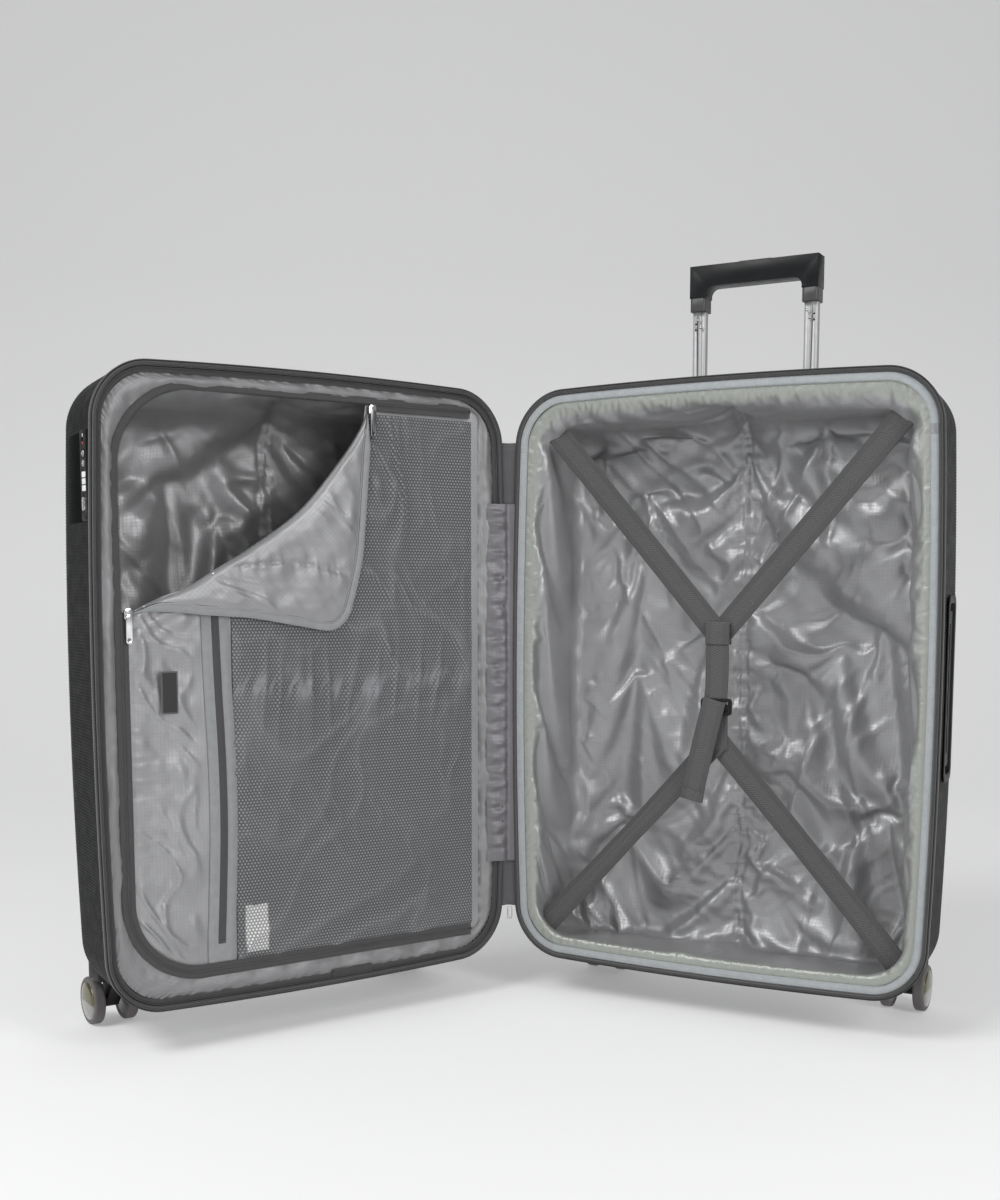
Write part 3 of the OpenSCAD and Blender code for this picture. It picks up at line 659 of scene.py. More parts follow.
def hard_shell(name, side, prisms):
    """A shell with fine ribs round its sides and over its back, and a smooth inside."""
    arc, end, tall = SHELL_COUNTS
    guide = ring_at(0, 0, SHELL_COUNTS)
    n, out = len(guide), outward(guide)
    valley = (0.5 - 0.5 * np.cos(TAU * guide[:, 2] / RIB)) ** 1.5 * smoothstep(0.98, 0.8, np.abs(out[:, 2]))
    profile = shell_profile(SHELL_Y, BACK, 0, EDGE, 12)
    turn = [DRAFT] + list(DRAFT + (TAU / 4 - DRAFT) * np.arange(13) / 12)
    near = [(SHELL_Y + d, d * math.tan(DRAFT)) for d in (0.003, 0.007)]
    rows = []
    ends = smoothstep(0.275, 0.235, np.abs(guide[:, 2] - MID_Z))
    for (y, inset), a, fade in zip([profile[0]] + near + profile[1:], [DRAFT] * 2 + turn, [0, 0] + [1] * 14):
        p = ring_at(y, inset, SHELL_COUNTS)
        o = valley * RIB_DEPTH * fade * (1 - (1 - ends) * min(1.0, (a / 1.2) ** 2))
        rows.append(p - out * (o * math.cos(a))[:, None] - np.array([0, 1, 0]) * (o * math.sin(a))[:, None])
    faces = grid_faces(len(rows), n, wrap=True)

    # The back: rows of quads from the last ring's right half to its left half
    last = (len(rows) - 1) * n + np.arange(n)
    top, left = arc, 2 * arc + end
    low_left, low, low_right = left + tall, left + tall + arc, left + tall + arc + end
    up_right = np.concatenate([last[low_right:], last[:arc + 1]])
    up_left = np.concatenate([last[low:low + 1], last[low_left:low][::-1], last[left:low_left][::-1],
                              last[arc + end:left][::-1]])
    flat = np.concatenate(rows)
    ids = np.zeros((len(up_right), end + 1), int)
    ids[:, 0], ids[:, -1] = up_right, up_left
    ids[-1, :-1] = last[top:top + end]
    ids[0, 1:] = last[low:low_right][::-1]
    inner = len(up_right) - 2
    ids[1:-1, 1:-1] = len(flat) + np.arange(inner * (end - 1)).reshape(inner, end - 1)
    share = np.arange(1, end)[None, :, None] / end
    r, l = flat[up_right[1:-1]][:, None], flat[up_left[1:-1]][:, None]
    points = [flat, (r + (l - r) * share).reshape(-1, 3)]
    quads = np.stack([ids[:-1, :-1], ids[:-1, 1:], ids[1:, 1:], ids[1:, :-1]], -1)
    faces += quads.reshape(-1, 4).tolist()

    # The inside, and the rim that joins it to the outside
    base = len(flat) + inner * (end - 1)
    inside = [ring_at(y, inset, INNER_COUNTS)
              for y, inset in shell_profile(SHELL_Y, BACK - WALL, WALL, EDGE - WALL, 5)]
    m = len(inside[0])
    points += inside
    faces += grid_faces(len(inside), m, wrap=True, first=base)
    faces.append(tuple(base + (len(inside) - 1) * m + k for k in range(m)))
    faces += bridge(np.arange(n), round_by(SHELL_COUNTS), base + np.arange(m), round_by(INNER_COUNTS))
    made = piece(name, np.concatenate(points), faces, side, SHELL, solid=True)
    cut(made, side, prisms)
    return made


# Holes for the trolley's housing, the two carry handles' cups and the lock. The cups lean with the draft.
CUP_TOP, CUP_SIDE = (0.264, 0.066, 0.7446), (0.5206, 0.066, 0.398)
CUP_LONG, CUP_WIDE, CUP_CORNER, DEEP = 0.2004, 0.0484, 0.0102, 0.04
UP_WALL, ASIDE_WALL = (0, math.cos(DRAFT), -math.sin(DRAFT)), (-math.sin(DRAFT), math.cos(DRAFT), 0)
housing_low, housing_high = local_box("handle_housing", "base")
housing_mid, housing_size = (housing_low + housing_high) / 2, housing_high - housing_low
lock_low, lock_high = local_box("lock_body", "lid")
base_holes = [
    prism((housing_mid[0], housing_mid[1], housing_high[2]), (0.1843, 0.0363, 0.122), 0.00815, (1, 0, 0),
          (0, 1, 0)),
    prism(CUP_TOP, (CUP_LONG, CUP_WIDE, DEEP), CUP_CORNER, (1, 0, 0), UP_WALL),
    prism(CUP_SIDE, (CUP_WIDE, CUP_LONG, DEEP), CUP_CORNER, ASIDE_WALL, (0, 0, 1)),
]
lid_holes = [
    prism((lock_high[0], (lock_low[1] + lock_high[1]) / 2, (lock_low[2] + lock_high[2]) / 2),
          (lock_high[1] - lock_low[1] + 0.0002, lock_high[2] - lock_low[2] + 0.0002, DEEP), 0.002,
          (0, 1, 0), (0, 0, 1)),
]
for side, holes in (("base", base_holes), ("lid", lid_holes)):
    case = hard_shell(f"{side}_case", side, holes)
    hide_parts(f"{side}_shell")

# ---- rims ----

RIM_COUNTS = (20, 24, 48)


def around(name, inset, profile, side, material):
    """Sweeps a profile, out and back, round the rim at an inset."""
    path = ring_at(0.0, inset, RIM_COUNTS)
    return sweep(name, path, outward(path), profile, side, material)


def oval(rx, ry, at=(0, 0), n=8):
    return [(at[0] + rx * math.cos(TAU * k / n), at[1] + ry * math.sin(TAU * k / n)) for k in range(n)]


def along_rim(name, inset, y, pitch, size, side, material):
    """Small blocks at a pitch round the rim."""
    centres, along = resample(ring_at(y, inset, (60, 60, 60)), pitch, closed=True)
    return blocks(name, centres, along, beside(along), size, side, material)


rim_tape = [(0.1, 10.6), (1.0, 10.3), (1.45, 9.4), (1.5, 6.2), (1.2, 4.6), (0.5, 4.1), (-0.2, 3.4), (-1.6, 3.0),
            (-3.9, 3.0), (-4.5, 3.5), (-4.5, 9.4), (-3.0, 10.0)]
zip_band = [(-0.5, 3.1), (-0.5, 1.0), (-0.8, 0.65), (-3.2, 0.65), (-3.5, 1.0), (-3.5, 3.1)]
for side in ("base", "lid"):
    tape_piece = around(f"{side}_rim_tape", 0, rim_tape, side, BASE_RIM if side == "base" else RIM)
    bead = around(f"{side}_rim_bead", 0, oval(0.9, 0.9, (1.0, 3.5)), side, BEAD)
    band = around(f"{side}_zip_band", 0, zip_band, side, TRACK)
    teeth = along_rim(f"{side}_zip_teeth", 0.0018, 0.00045, 0.0022, (0.0012, 0.0006, 0.0022), side, TEETH)
    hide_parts(f"{side}_rim")
inner_band = around("lid_inner_band", 0, [(-6.2, 10.0), (-6.0, 6.6), (-6.6, 6.0), (-10.4, 6.2), (-11.2, 7.0),
                                          (-11.2, 9.0), (-10.6, 10.0)], "lid", RIM)
inner_bead = around("lid_inner_bead", 0, oval(1.0, 0.9, (-6.0, 5.9)), "lid", BEAD)
gasket = around("lid_groove", 0, [(-4.4, 9.5), (-4.4, 7.6), (-6.2, 7.6), (-6.2, 9.5)], "lid", BLACK)

binding = around("base_edge_binding", 0, [(-4.7, 5.0), (-5.0, 4.0), (-6.2, 3.5), (-9.5, 3.3), (-12.8, 3.5),
                                          (-13.9, 4.1), (-14.2, 5.2), (-13.6, 6.3), (-9.5, 6.6), (-5.2, 6.3)],
                 "base", BINDING)
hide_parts("base_binding")
for k, inset in enumerate((0.0064, 0.0126)):
    seam = along_rim(f"base_binding_stitch_{k + 1}", inset, 0.0034, 0.0032, (0.0023, 0.0005, 0.0007), "base",
                     STITCH)

# ---- linings ----


def evenly(line, pitch):
    """Points at about an even pitch along an open line of (depth, inset) pairs, both ends kept."""
    p = np.array(line, float)
    run = run_along(p)
    at = np.linspace(0, run[-1], max(2, round(run[-1] / pitch) + 1))
    return between(p, run, at), at


def arc_to_floor(wall, back, r, steps=6):
    """From a wall inset at the start of an edge's turn to the floor."""
    return [(back - r + r * math.sin(a), wall + r * (1 - math.cos(a))) for a in np.linspace(0, TAU / 4, steps)]


def tray(line, pitch):
    """A grid of cloth from the rim down the walls and over the floor, its flat places, and how far each point
    is from the rim."""
    # A whole number of cloth squares on the walls and over the floor, counted from the middle
    rows, run = evenly(line, pitch)
    wall = len(rows) - 1
    a, b = WIDTH / 2 - rows[-1][1], HEIGHT / 2 - rows[-1][1]
    floor_a, floor_b = round(a / pitch), round(b / pitch)
    n, m = 2 * (wall + floor_a), 2 * (wall + floor_b)
    i, k = np.meshgrid(np.arange(n + 1), np.arange(m + 1), indexing="ij")
    u, v = i - n / 2, k - m / 2
    ring_no = np.minimum(np.minimum(i, n - i), np.minimum(k, m - k)).astype(float)
    half_n, half_m = n / 2 - ring_no, m / 2 - ring_no

    # Each square ring of the grid lies on a rounded rectangle, whose corners tighten towards the middle
    past = np.clip(ring_no - wall, 0, None)
    level = np.minimum(ring_no, wall).astype(int)
    inset = rows[level, 1]
    half_a = (WIDTH / 2 - inset) * np.where(past > 0, half_n / floor_a, 1)
    half_b = (HEIGHT / 2 - inset) * np.where(past > 0, half_m / floor_b, 1)
    r = corner_at(inset) * np.clip(1 - past / 6, 0.02, 1)
    r = np.minimum(r, np.maximum(np.minimum(half_a, half_b), 1e-6))
    on_side = half_n - np.abs(u) < 0.5
    t = np.where(on_side, v / np.maximum(half_m, 1e-6), u / np.maximum(half_n, 1e-6))
    straight = np.where(on_side, half_b, half_a) - r
    s = np.abs(t) * (straight + r * TAU / 8)
    turn = np.clip((s - straight) / r, 0, TAU / 8)
    along = np.sign(t) * np.where(s <= straight, s, straight + r * np.sin(turn))
    out = np.where(on_side, half_a, half_b) - r * (1 - np.cos(turn))
    x = np.where(on_side, np.sign(u) * out, along)
    z = np.where(on_side, along, np.sign(v) * out)
    share = 1 - past / max(floor_a, 1)
    bow_x = 1 - SIDE_BOW * share * (z / (half_b + 1e-6)) ** 2 / (WIDTH / 2)
    bow_z = 1 - END_BOW * share * (x / (half_a + 1e-6)) ** 2 / (HEIGHT / 2)
    points = np.stack([MID_X + x * bow_x, rows[level, 0], MID_Z + z * bow_z], -1)
    return points, np.stack([i, k], -1) * pitch, run[level] + past * pitch


def read(mesh, what, data=None, size=3):
    """Values of each vertex of a mesh, or of its data in an attribute."""
    out = np.empty(len(mesh.vertices) * size, np.float32)
    (data or mesh.vertices).foreach_get(what, out)
    return out.reshape(-1, 3) if size == 3 else out


def write(mesh, points):
    mesh.vertices.foreach_set("co", points.ravel().astype(np.float32))
    mesh.update()


def settle(made, pins, growth, frames, caps):
    """Lets an oversized cloth buckle and hang from its pins, then keeps each point near its start.

    caps are how far a point may move out of the case, into it, and sideways."""
    mesh = made.data
    start = read(mesh, "co").astype(float)
    normal = read(mesh, "normal").astype(float)
    middle = start.mean(0) + (start[np.argmin(start[:, 1])] - start.mean(0)) * 0.5
    if (normal * (middle - start)).sum(1).mean() < 0:
        normal = -normal
    held = made.vertex_groups.new(name="pins")
    for weight in np.unique(pins[pins > 0]):
        held.add(np.nonzero(pins == weight)[0].tolist(), float(weight), "REPLACE")
    cloth = made.modifiers.new("cloth", "CLOTH")
    c = cloth.settings
    c.quality, c.mass, c.air_damping = 5, 0.25, 2.0
    c.tension_stiffness = c.compression_stiffness = 18
    c.shear_stiffness, c.bending_stiffness = 6, 2.5
    c.vertex_group_mass, c.pin_stiffness = "pins", 1.0
    c.shrink_min = c.shrink_max = -growth
    cloth.collision_settings.use_collision = cloth.collision_settings.use_self_collision = False
    scene = bpy.context.scene
    for f in range(1, frames + 1):
        scene.frame_set(f)
    co = read(made.evaluated_get(bpy.context.evaluated_depsgraph_get()).data, "co")
    made.modifiers.remove(cloth)
    scene.frame_set(1)
    shift = co - start
    proud = (shift * normal).sum(1)
    aside = shift - normal * proud[:, None]
    back, front, side = caps(start) if callable(caps) else caps
    proud = np.where(proud > 0, front * np.tanh(proud / front), -back * np.tanh(-proud / back))
    length = np.linalg.norm(aside, axis=1)
    aside *= (side * np.tanh(length / side) / np.maximum(length, 1e-9))[:, None]
    write(mesh, start + aside + normal * proud[:, None])


def press_creases(mesh, side, lean, edge, seed, limits):
    """Adds the creases of the floor, the gathers beside the middle seam and the ripple under a light edge."""
    depth = read(mesh, "value", mesh.attributes["depth"].data, 1)
    local = to_local(read(mesh, "co"), side)
    x, z = local[:, 0], local[:, 2]
    dx = x - MID_X - 0.003 * wrinkle(z, z * 0, 0.12, seed + 2, 1)
    on_floor = smoothstep(0.05, 0.10, depth)
    right = smoothstep(-0.02, 0.02, dx)
    lift = 0.0
    for k, (scale, height) in enumerate(((0.130, 0.0070), (0.060, 0.0026))):
        lift = lift + height * right * creases(x, z, lean[1] - 9 * k, scale, seed + 31 + 10 * k)
        lift = lift + height * (1 - right) * creases(x, z, lean[0] + 9 * k, scale, seed + 35 + 10 * k)

    # The seam: short creases that run into it, a ripple over it and a furrow on each side
    near = np.exp(-np.abs(dx) / 0.045)
    lift = lift * smoothstep(0.004, 0.03, np.abs(dx))
    lift = lift + 0.0024 * near * creases(x, z, 38 * np.sign(dx), 0.030, seed + 51)
    run = z + 0.3 * local[:, 1]
    ripple = np.sin(TAU * run / 0.012 + 4 * wrinkle(dx * 0, run, 0.05, seed + 3))
    lift = lift + 0.0016 * (ripple + 0.4) * np.exp(-np.abs(dx) / 0.013)
    lift = lift - 0.0026 * np.exp(-((np.abs(dx) - 0.0048) / 0.0022) ** 2)
    local[:, 1] -= on_floor * lift
    if edge:
        turn = np.arctan2(z - MID_Z, x - MID_X)
        gather = np.sin(240 * turn + 5 * wrinkle(x, z, 0.06, seed + 5))
        band = smoothstep(0.001, 0.004, depth) * smoothstep(edge + 0.012, edge, depth)
        local[:, 1] += band * 0.0007 * gather
    for (low, high), keep in limits:
        inside = (x > low[0] - 0.008) & (x < high[0] + 0.008) & (z > low[2] - 0.008) & (z < high[2] + 0.008)
        local[:, 1] = np.where(inside, np.minimum(local[:, 1], low[1] - keep), local[:, 1])
    write(mesh, to_row(local, side))


def loose_lining(name, side, line, pitch, material, growth, frames, caps, node, lean, edge=0.0, seed=1, limits=()):
    """A lining: a tray of thin cloth, gathered at its rim and along a seam down its middle.

    lean gives the angles of its creases to the left and right of the seam, in degrees. edge is the width of its
    light edge. limits are boxes that it stays in front of, each with a distance to keep."""
    points, uv, depth = tray(line, pitch)
    n, m = points.shape[:2]
    x, z = points[..., 0], points[..., 2]
    free = smoothstep(edge + 0.002, edge + 0.03, depth)
    right = smoothstep(MID_X - 0.02, MID_X + 0.02, x)
    drape = creases(x, z, lean[1], 0.13, seed + 7) * right + creases(x, z, lean[0], 0.13, seed + 9) * (1 - right)
    free = free * smoothstep(0.0, 0.03, np.abs(x - MID_X))
    points[..., 1] -= free * (0.012 * drape + 0.003 * wrinkle(x, z, 0.14, seed))
    masks = {"edge": smoothstep(edge + 0.001, edge - 0.001, depth) if edge else 0 * depth, "depth": depth}
    made = piece(name, points, grid_faces(n, m), side, material, uv=uv, body="", masks=masks)
    # Pins: the rim fully, the middle seam nearly, and a few random tacks less
    mid = np.abs(np.arange(n) - (n - 1) / 2)[:, None] < 0.6
    pins = np.where(depth < edge + 0.001, 1.0, 0.0)
    pins = np.where(mid & (depth > 0.05), 0.9, pins)
    tacks = np.random.default_rng(seed)
    for _ in range(16):
        cx, cz = MID_X + tacks.uniform(-0.19, 0.19), MID_Z + tacks.uniform(-0.27, 0.27)
        pins = np.maximum(pins, np.where((x - cx) ** 2 + (z - cz) ** 2 < 0.009 ** 2, 0.7, 0))
    settle(made, pins.ravel(), growth, frames, caps)
    made.modifiers.new("fine", "SUBSURF").levels = 1
    applied(made)
    press_creases(made.data, side, lean, edge, seed, limits)
    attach(made, side)
    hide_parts(node)


base_line = [(0.0062, 0.0132), (0.0056, 0.017), (0.0062, 0.022), (0.009, 0.0265), (0.013, 0.0275), (0.018, 0.0262),
             (0.026, 0.023), (0.040, 0.0215), (0.088, 0.024)] + arc_to_floor(0.024, 0.119, 0.031)
lid_line = [(0.0092, 0.0124), (0.012, 0.0150), (0.020, 0.017), (0.095, 0.020)] + arc_to_floor(0.020, 0.138, 0.043)


def base_room(row):
    """How far the base's lining may move: less on the walls and in front of the trolley's housing."""
    p = to_local(row, "base")
    near = (np.abs(p[:, 0] - housing_mid[0]) < housing_size[0] / 2 + 0.02) & (p[:, 2] > housing_low[2] - 0.03)
    back = np.where(p[:, 1] < 0.1, 0.003, np.where(near, 0.0015, 0.007))
    return back, 0.022, 0.014


kept_clear = [(local_box(node, "base"), keep)
              for node, keep in (("handle_housing", 0.001), ("outer_tubes", 0.0015), ("tube_bracket", 0.001))]
loose_lining("base_satin", "base", base_line, 0.0066, SATIN, 0.10, 30, base_room, "base_lining", (-52, 60),
             edge=0.016, seed=11, limits=kept_clear)
loose_lining("lid_satin", "lid", lid_line, 0.0085, LID_SATIN, 0.08, 26, (0.004, 0.022, 0.014), "lid_lining",
             (52, 56), seed=23)

# ---- divider ----

# The zip's loop, the fold and the free edge of the open corner, and a seam in the folded part, in x and z.
# A Y is the depth at which a cloth lies.
LOOP_MID, LOOP_HALF, LOOP_CORNER, LOOP_SEWN = (0.266, 0.403), (0.226, 0.317), 0.085, 0.012
ZIP_Y, PANEL_Y, NET_Y = 0.0078, 0.0102, 0.0088
FOLD = np.array([(0.484, 0.482), (0.470, 0.490), (0.447, 0.500), (0.413, 0.513), (0.384, 0.530), (0.342, 0.554),
                 (0.280, 0.597), (0.228, 0.655), (0.204, 0.688), (0.194, 0.708)])
EDGE_LINE = np.array([(0.484, 0.482), (0.464, 0.489), (0.442, 0.492), (0.396, 0.488), (0.343, 0.484),
                      (0.282, 0.474), (0.251, 0.469), (0.239, 0.472), (0.230, 0.481), (0.224, 0.496),
                      (0.212, 0.542), (0.208, 0.577), (0.203, 0.634), (0.199, 0.680), (0.194, 0.708)])
SEAM_LINE = np.array([(0.376, 0.532), (0.293, 0.538), (0.214, 0.523)])


def loop(inset, counts):
    half = LOOP_HALF[0] - inset, LOOP_HALF[1] - inset
    wide, tight = LOOP_CORNER - inset, max(LOOP_SEWN - inset, 0.001)
    return outline(LOOP_MID, half, (wide, tight, tight, wide), counts)


def spline(points, n):
    """A smooth line through points, evenly spaced."""
    p = np.asarray(points, float)
    q = np.vstack([2 * p[0] - p[1], p, 2 * p[-1] - p[-2]])
    out = []
    for k in range(1, len(q) - 2):
        t = np.linspace(0, 1, 24, endpoint=False)[:, None]
        m0, m1 = (q[k + 1] - q[k - 1]) / 2, (q[k + 2] - q[k]) / 2
        out.append((2 * t ** 3 - 3 * t ** 2 + 1) * q[k] + (t ** 3 - 2 * t ** 2 + t) * m0
                   + (3 * t ** 2 - 2 * t ** 3) * q[k + 1] + (t ** 3 - t ** 2) * m1)
    line = np.vstack(out + [p[-1:]])
    run = run_along(line)
    return between(line, run, np.linspace(0, run[-1], n))


def normals_along(path):
    """Unit vectors to the left of an open path in x and z, as seen from the front."""
    return unit(beside(np.gradient(path, axis=0)))


def to_line(x, z, line):
    """Distance from points to a line of points in x and z."""
    d = (x[..., None] - line[:, 0]) ** 2 + (z[..., None] - line[:, 1]) ** 2
    return np.sqrt(d.min(-1))


fold_line, edge_line, seam_line = spline(FOLD, 160), spline(EDGE_LINE, 160), spline(SEAM_LINE, 60)

# The border between the rim and the zip
BORDER_COUNTS = (60, 110, 150)
outer, inner = ring(0.0108, BORDER_COUNTS), loop(-0.0010, BORDER_COUNTS)
steps = 14
border = []
for t in np.linspace(0, 1, steps):
    p = outer + (inner - outer) * t
    ripple = np.sin(TAU * np.arange(len(p)) / 4.6 + 2.5 * wrinkle(p[:, 0], p[:, 1], 0.05, 31))
    y = 0.0088 - 0.0022 * math.sin(math.pi * min(t * 1.3, 1)) + 0.0010 * t ** 3
    depth = y - 0.0007 * ripple * (math.exp(-t / 0.12) + math.exp(-(1 - t) / 0.16))
    depth = depth - 0.0016 * wrinkle(p[:, 0], p[:, 1], 0.07, 33) * math.sin(math.pi * t)
    border.append(np.stack([p[:, 0], np.maximum(depth, 0.0042), p[:, 1]], -1))
lid_border = piece("lid_border", border, grid_faces(steps, len(outer), wrap=True), "lid", BORDER_SATIN,
                   uv=cloth_uv(run_along(outer)[None, :], np.linspace(0, 0.03, steps)[:, None]))
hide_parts("divider_border")

# The zip round three sides, whole where it is closed and half round the open corner
TRACK_COUNTS = (40, 60, 80)
arc, end, tall = TRACK_COUNTS


def track_path(y):
    p = loop(0, TRACK_COUNTS)
    p = np.roll(p, -(2 * arc + end + tall + arc), axis=0)[:end + arc + tall + arc + end + 1]
    return at_depth(p, y)


whole = track_path(ZIP_Y)
side_x, stop_z, stop_x = LOOP_MID[0] + LOOP_HALF[0], 0.482, 0.188  # the open part is above stop_z, beyond stop_x
whole = whole[whole[:, 0] > 0.046]
first = np.nonzero((whole[:, 0] > side_x - 0.001) & (whole[:, 2] > stop_z))[0][0]
last = np.nonzero((np.arange(len(whole)) > first) & (whole[:, 0] < stop_x))[0][0]
closed_parts = [whole[:first + 1], whole[last - 1:]]
outer_half = [(0.0, 0.9), (0.0, -0.3), (0.6, -0.7), (1.6, -0.6), (2.4, 0.1), (6.6, 0.2), (7.2, -0.4), (7.6, 0.4),
              (7.2, 1.2)]
inner_half = [(-x, y) for x, y in outer_half[::-1]]
coil = [(-1.7, 0.2), (-1.5, -0.9), (-0.6, -1.35), (0.6, -1.35), (1.5, -0.9), (1.7, 0.2)]
tracks = [sweep("divider_zip_outer", whole, normals_along(whole), outer_half, "lid", TRACK, closed=False)]
for k, part in enumerate(closed_parts):
    for name, profile, material in (("inner", inner_half, TRACK), ("coil", coil, TEETH)):
        tracks.append(sweep(f"divider_zip_{name}_{k + 1}", part, normals_along(part), profile, "lid", material,
                            closed=False))
centres, along = resample(whole[first:last], 0.0016)
across = beside(along)
tracks.append(blocks("divider_zip_teeth", centres - np.array([0, 0.0003, 0]) - across * 0.0004, along, across,
                     (0.0009, 0.0014, 0.0022), "lid", TEETH))
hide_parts("divider_zip")


def top_of(x, inset=0.0):
    """The height of the divider's cloth at x: the zip's loop, or the fold where the corner is open."""
    p = loop(inset, (80, 2, 2))
    upper = p[p[:, 1] > LOOP_MID[1]]
    order = np.argsort(upper[:, 0])
    edge = np.interp(x, upper[order, 0], upper[order, 1])
    order = np.argsort(fold_line[:, 0])
    fold = np.interp(x, fold_line[order, 0], fold_line[order, 1], left=9)
    return np.minimum(edge, fold)


def bottom_of(x, inset=0.0):
    p = loop(inset, (80, 2, 2))
    lower = p[p[:, 1] < LOOP_MID[1]]
    order = np.argsort(lower[:, 0])
    return np.interp(x, lower[order, 0], lower[order, 1])


def panel_grid(x_range, columns, rows, low=None, high=None):
    x = np.linspace(*x_range, columns)
    lo = bottom_of(x, -0.003) if low is None else np.full(columns, low)
    hi = top_of(x, -0.003 if low is None else 0.0035)
    if high is not None:
        hi = np.minimum(hi, high)
    t = np.linspace(0, 1, rows)[:, None]
    z = lo + (hi - lo) * t
    return np.broadcast_to(x, z.shape), z


# The satin panel, creased from the stitched sides
x, z = panel_grid((LOOP_MID[0] - LOOP_HALF[0] - 0.003, side_x + 0.003), 150, 190)
crease = creases(x, z, 52, 0.060, 41) * smoothstep(0.40, 0.42, x)
crease = crease * smoothstep(0.4885, 0.470, x)
pleat = np.sin(TAU * z / 0.026 + 3 * wrinkle(x * 0.2, z, 0.08, 44))
pleat = np.clip(pleat, 0, 1) ** 2 * np.exp(-(side_x - 0.0035 - x) / 0.016)
hang = smoothstep(0.06, 0.0, top_of(x) - z) * smoothstep(0.39, 0.42, x)
depth = PANEL_Y - 0.0064 * crease - 0.0026 * pleat - 0.0014 * wrinkle(x, z, 0.06, 43)
depth = depth - 0.003 * hang * (0.5 + 0.5 * np.sin(TAU * (z + 0.6 * x) / 0.019))
under_net = smoothstep(0.385, 0.372, x) * smoothstep(0.046, 0.056, x)
rim_flat = smoothstep(0.006, 0.016, to_line(x, z, loop(0, (40, 150, 200))))
depth = PANEL_Y + (depth - PANEL_Y) * rim_flat * smoothstep(0.400, 0.420, x)
depth = np.clip(depth * (1 - under_net) + 0.0112 * under_net, 0.0035, 0.0118)
panel = piece("divider_satin", np.stack([x, depth, z], -1), grid_faces(190, 150), "lid", PANEL_SATIN,
              uv=cloth_uv(x, z))
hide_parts("divider_panel")

# The mesh pocket: folds above and below its gathered seam, a painted sheen along them, and the care label that
# shows through it
NET_LEFT, NET_RIGHT, NET_LOW, NET_HIGH = 0.050, 0.3665, 0.0925, 0.7085
CARE_X, CARE_Z = (0.329, 0.356), (0.102, 0.152)
x, z = panel_grid((NET_LEFT, NET_RIGHT), 150, 220, low=NET_LOW, high=NET_HIGH)
flap_low = np.interp(x, edge_line[20:110][::-1, 0], edge_line[20:110][::-1, 1], left=9)
under = (z > flap_low) & (x > 0.19)
calm = np.where(under, 0.0, smoothstep(0.0, 0.022, to_line(x, z, edge_line)))
seam = 0.398 + 0.004 * np.sin(TAU * x / 0.3)
off_seam = np.abs(z - seam)
pull = np.exp(-off_seam / 0.030)
pucker = np.sin(TAU * x / 0.030 + 2.2 * wrinkle(x, z * 0.2, 0.10, 52) + (z - seam) * 18)
pucker = np.clip(pucker, 0, 1) ** 1.5
upper_half = smoothstep(0.36, 0.44, z)
long_folds = 1.2 * creases(x, z, 62, 0.085, 53) * upper_half
long_folds = long_folds + 1.1 * creases(x, z, -45, 0.10, 57) * (1 - upper_half)
long_folds = long_folds + 0.4 * creases(x, z, 80, 0.045, 59)
depth = NET_Y - calm * (0.0066 * long_folds * (1 - 0.6 * pull) + 0.0062 * pull * pucker)
depth = depth + 0.002 * np.exp(-(off_seam / 0.003) ** 2)
rim_pull = smoothstep(0, 0.012, np.minimum(np.minimum(x - NET_LEFT, NET_RIGHT - x), z - NET_LOW))
depth = NET_Y + (depth - NET_Y) * (0.25 + 0.75 * rim_pull)
# Painted sheen for the mesh's colour: short light strokes at the seam, lighter folds and lighter puckers
strokes = np.clip(wrinkle(x + 0.4 * (z - seam), z * 0.1, 0.016, 58, 2), 0, 1)
gathered = 0.28 * long_folds + 1.6 * strokes * np.exp(-(off_seam / 0.009) ** 1.5) + 0.25 * pull * pucker
label_mask = (x > CARE_X[0]) & (x < CARE_X[1]) & (z > CARE_Z[0] - 0.002) & (z < CARE_Z[1] + 0.001)
depth = np.clip(depth, 0.0020, 0.0094) + 0.0010 * smoothstep(0.359, 0.3655, x)
net = piece("pocket_net", np.stack([x, depth, z], -1), grid_faces(220, 150), "lid", MESH, uv=cloth_uv(x, z),
            masks={"label": label_mask, "gather": np.clip(calm * gathered, 0, 1)})
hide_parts("mesh_pocket")

# The pocket's own zip
zip_line = spline([(0.3865, 0.545), (0.3865, 0.484), (0.3845, 0.410), (0.381, 0.321), (0.3805, 0.242),
                   (0.3835, 0.163), (0.3855, 0.124), (0.3860, 0.0915)], 120)[::-1]
zip_line = zip_line[zip_line[:, 1] < top_of(zip_line[:, 0] + 0.0165) - 0.004]
line = at_depth(zip_line, 0.0092)
n = normals_along(line)
zip_tape = [(-16.5, 0.2), (-16.3, -0.5), (-9, -0.7), (-4.5, -0.4), (4.5, -0.4), (9, -0.7), (16.3, -0.5),
            (16.5, 0.2), (9, 0.6), (-9, 0.6)]
zip_ridge = [(-4.6, -0.3), (-4.3, -0.9), (-1.8, -1.0), (-1.1, -1.3), (1.1, -1.3), (1.8, -1.0), (4.3, -0.9),
             (4.6, -0.3)]
pieces = [sweep("pocket_zip_tape", line, n, zip_tape, "lid", BORDER_TAPE, closed=False),
          sweep("pocket_zip_track", line[6:], n[6:], zip_ridge, "lid", TRACK, closed=False)]
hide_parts("pocket_zip")

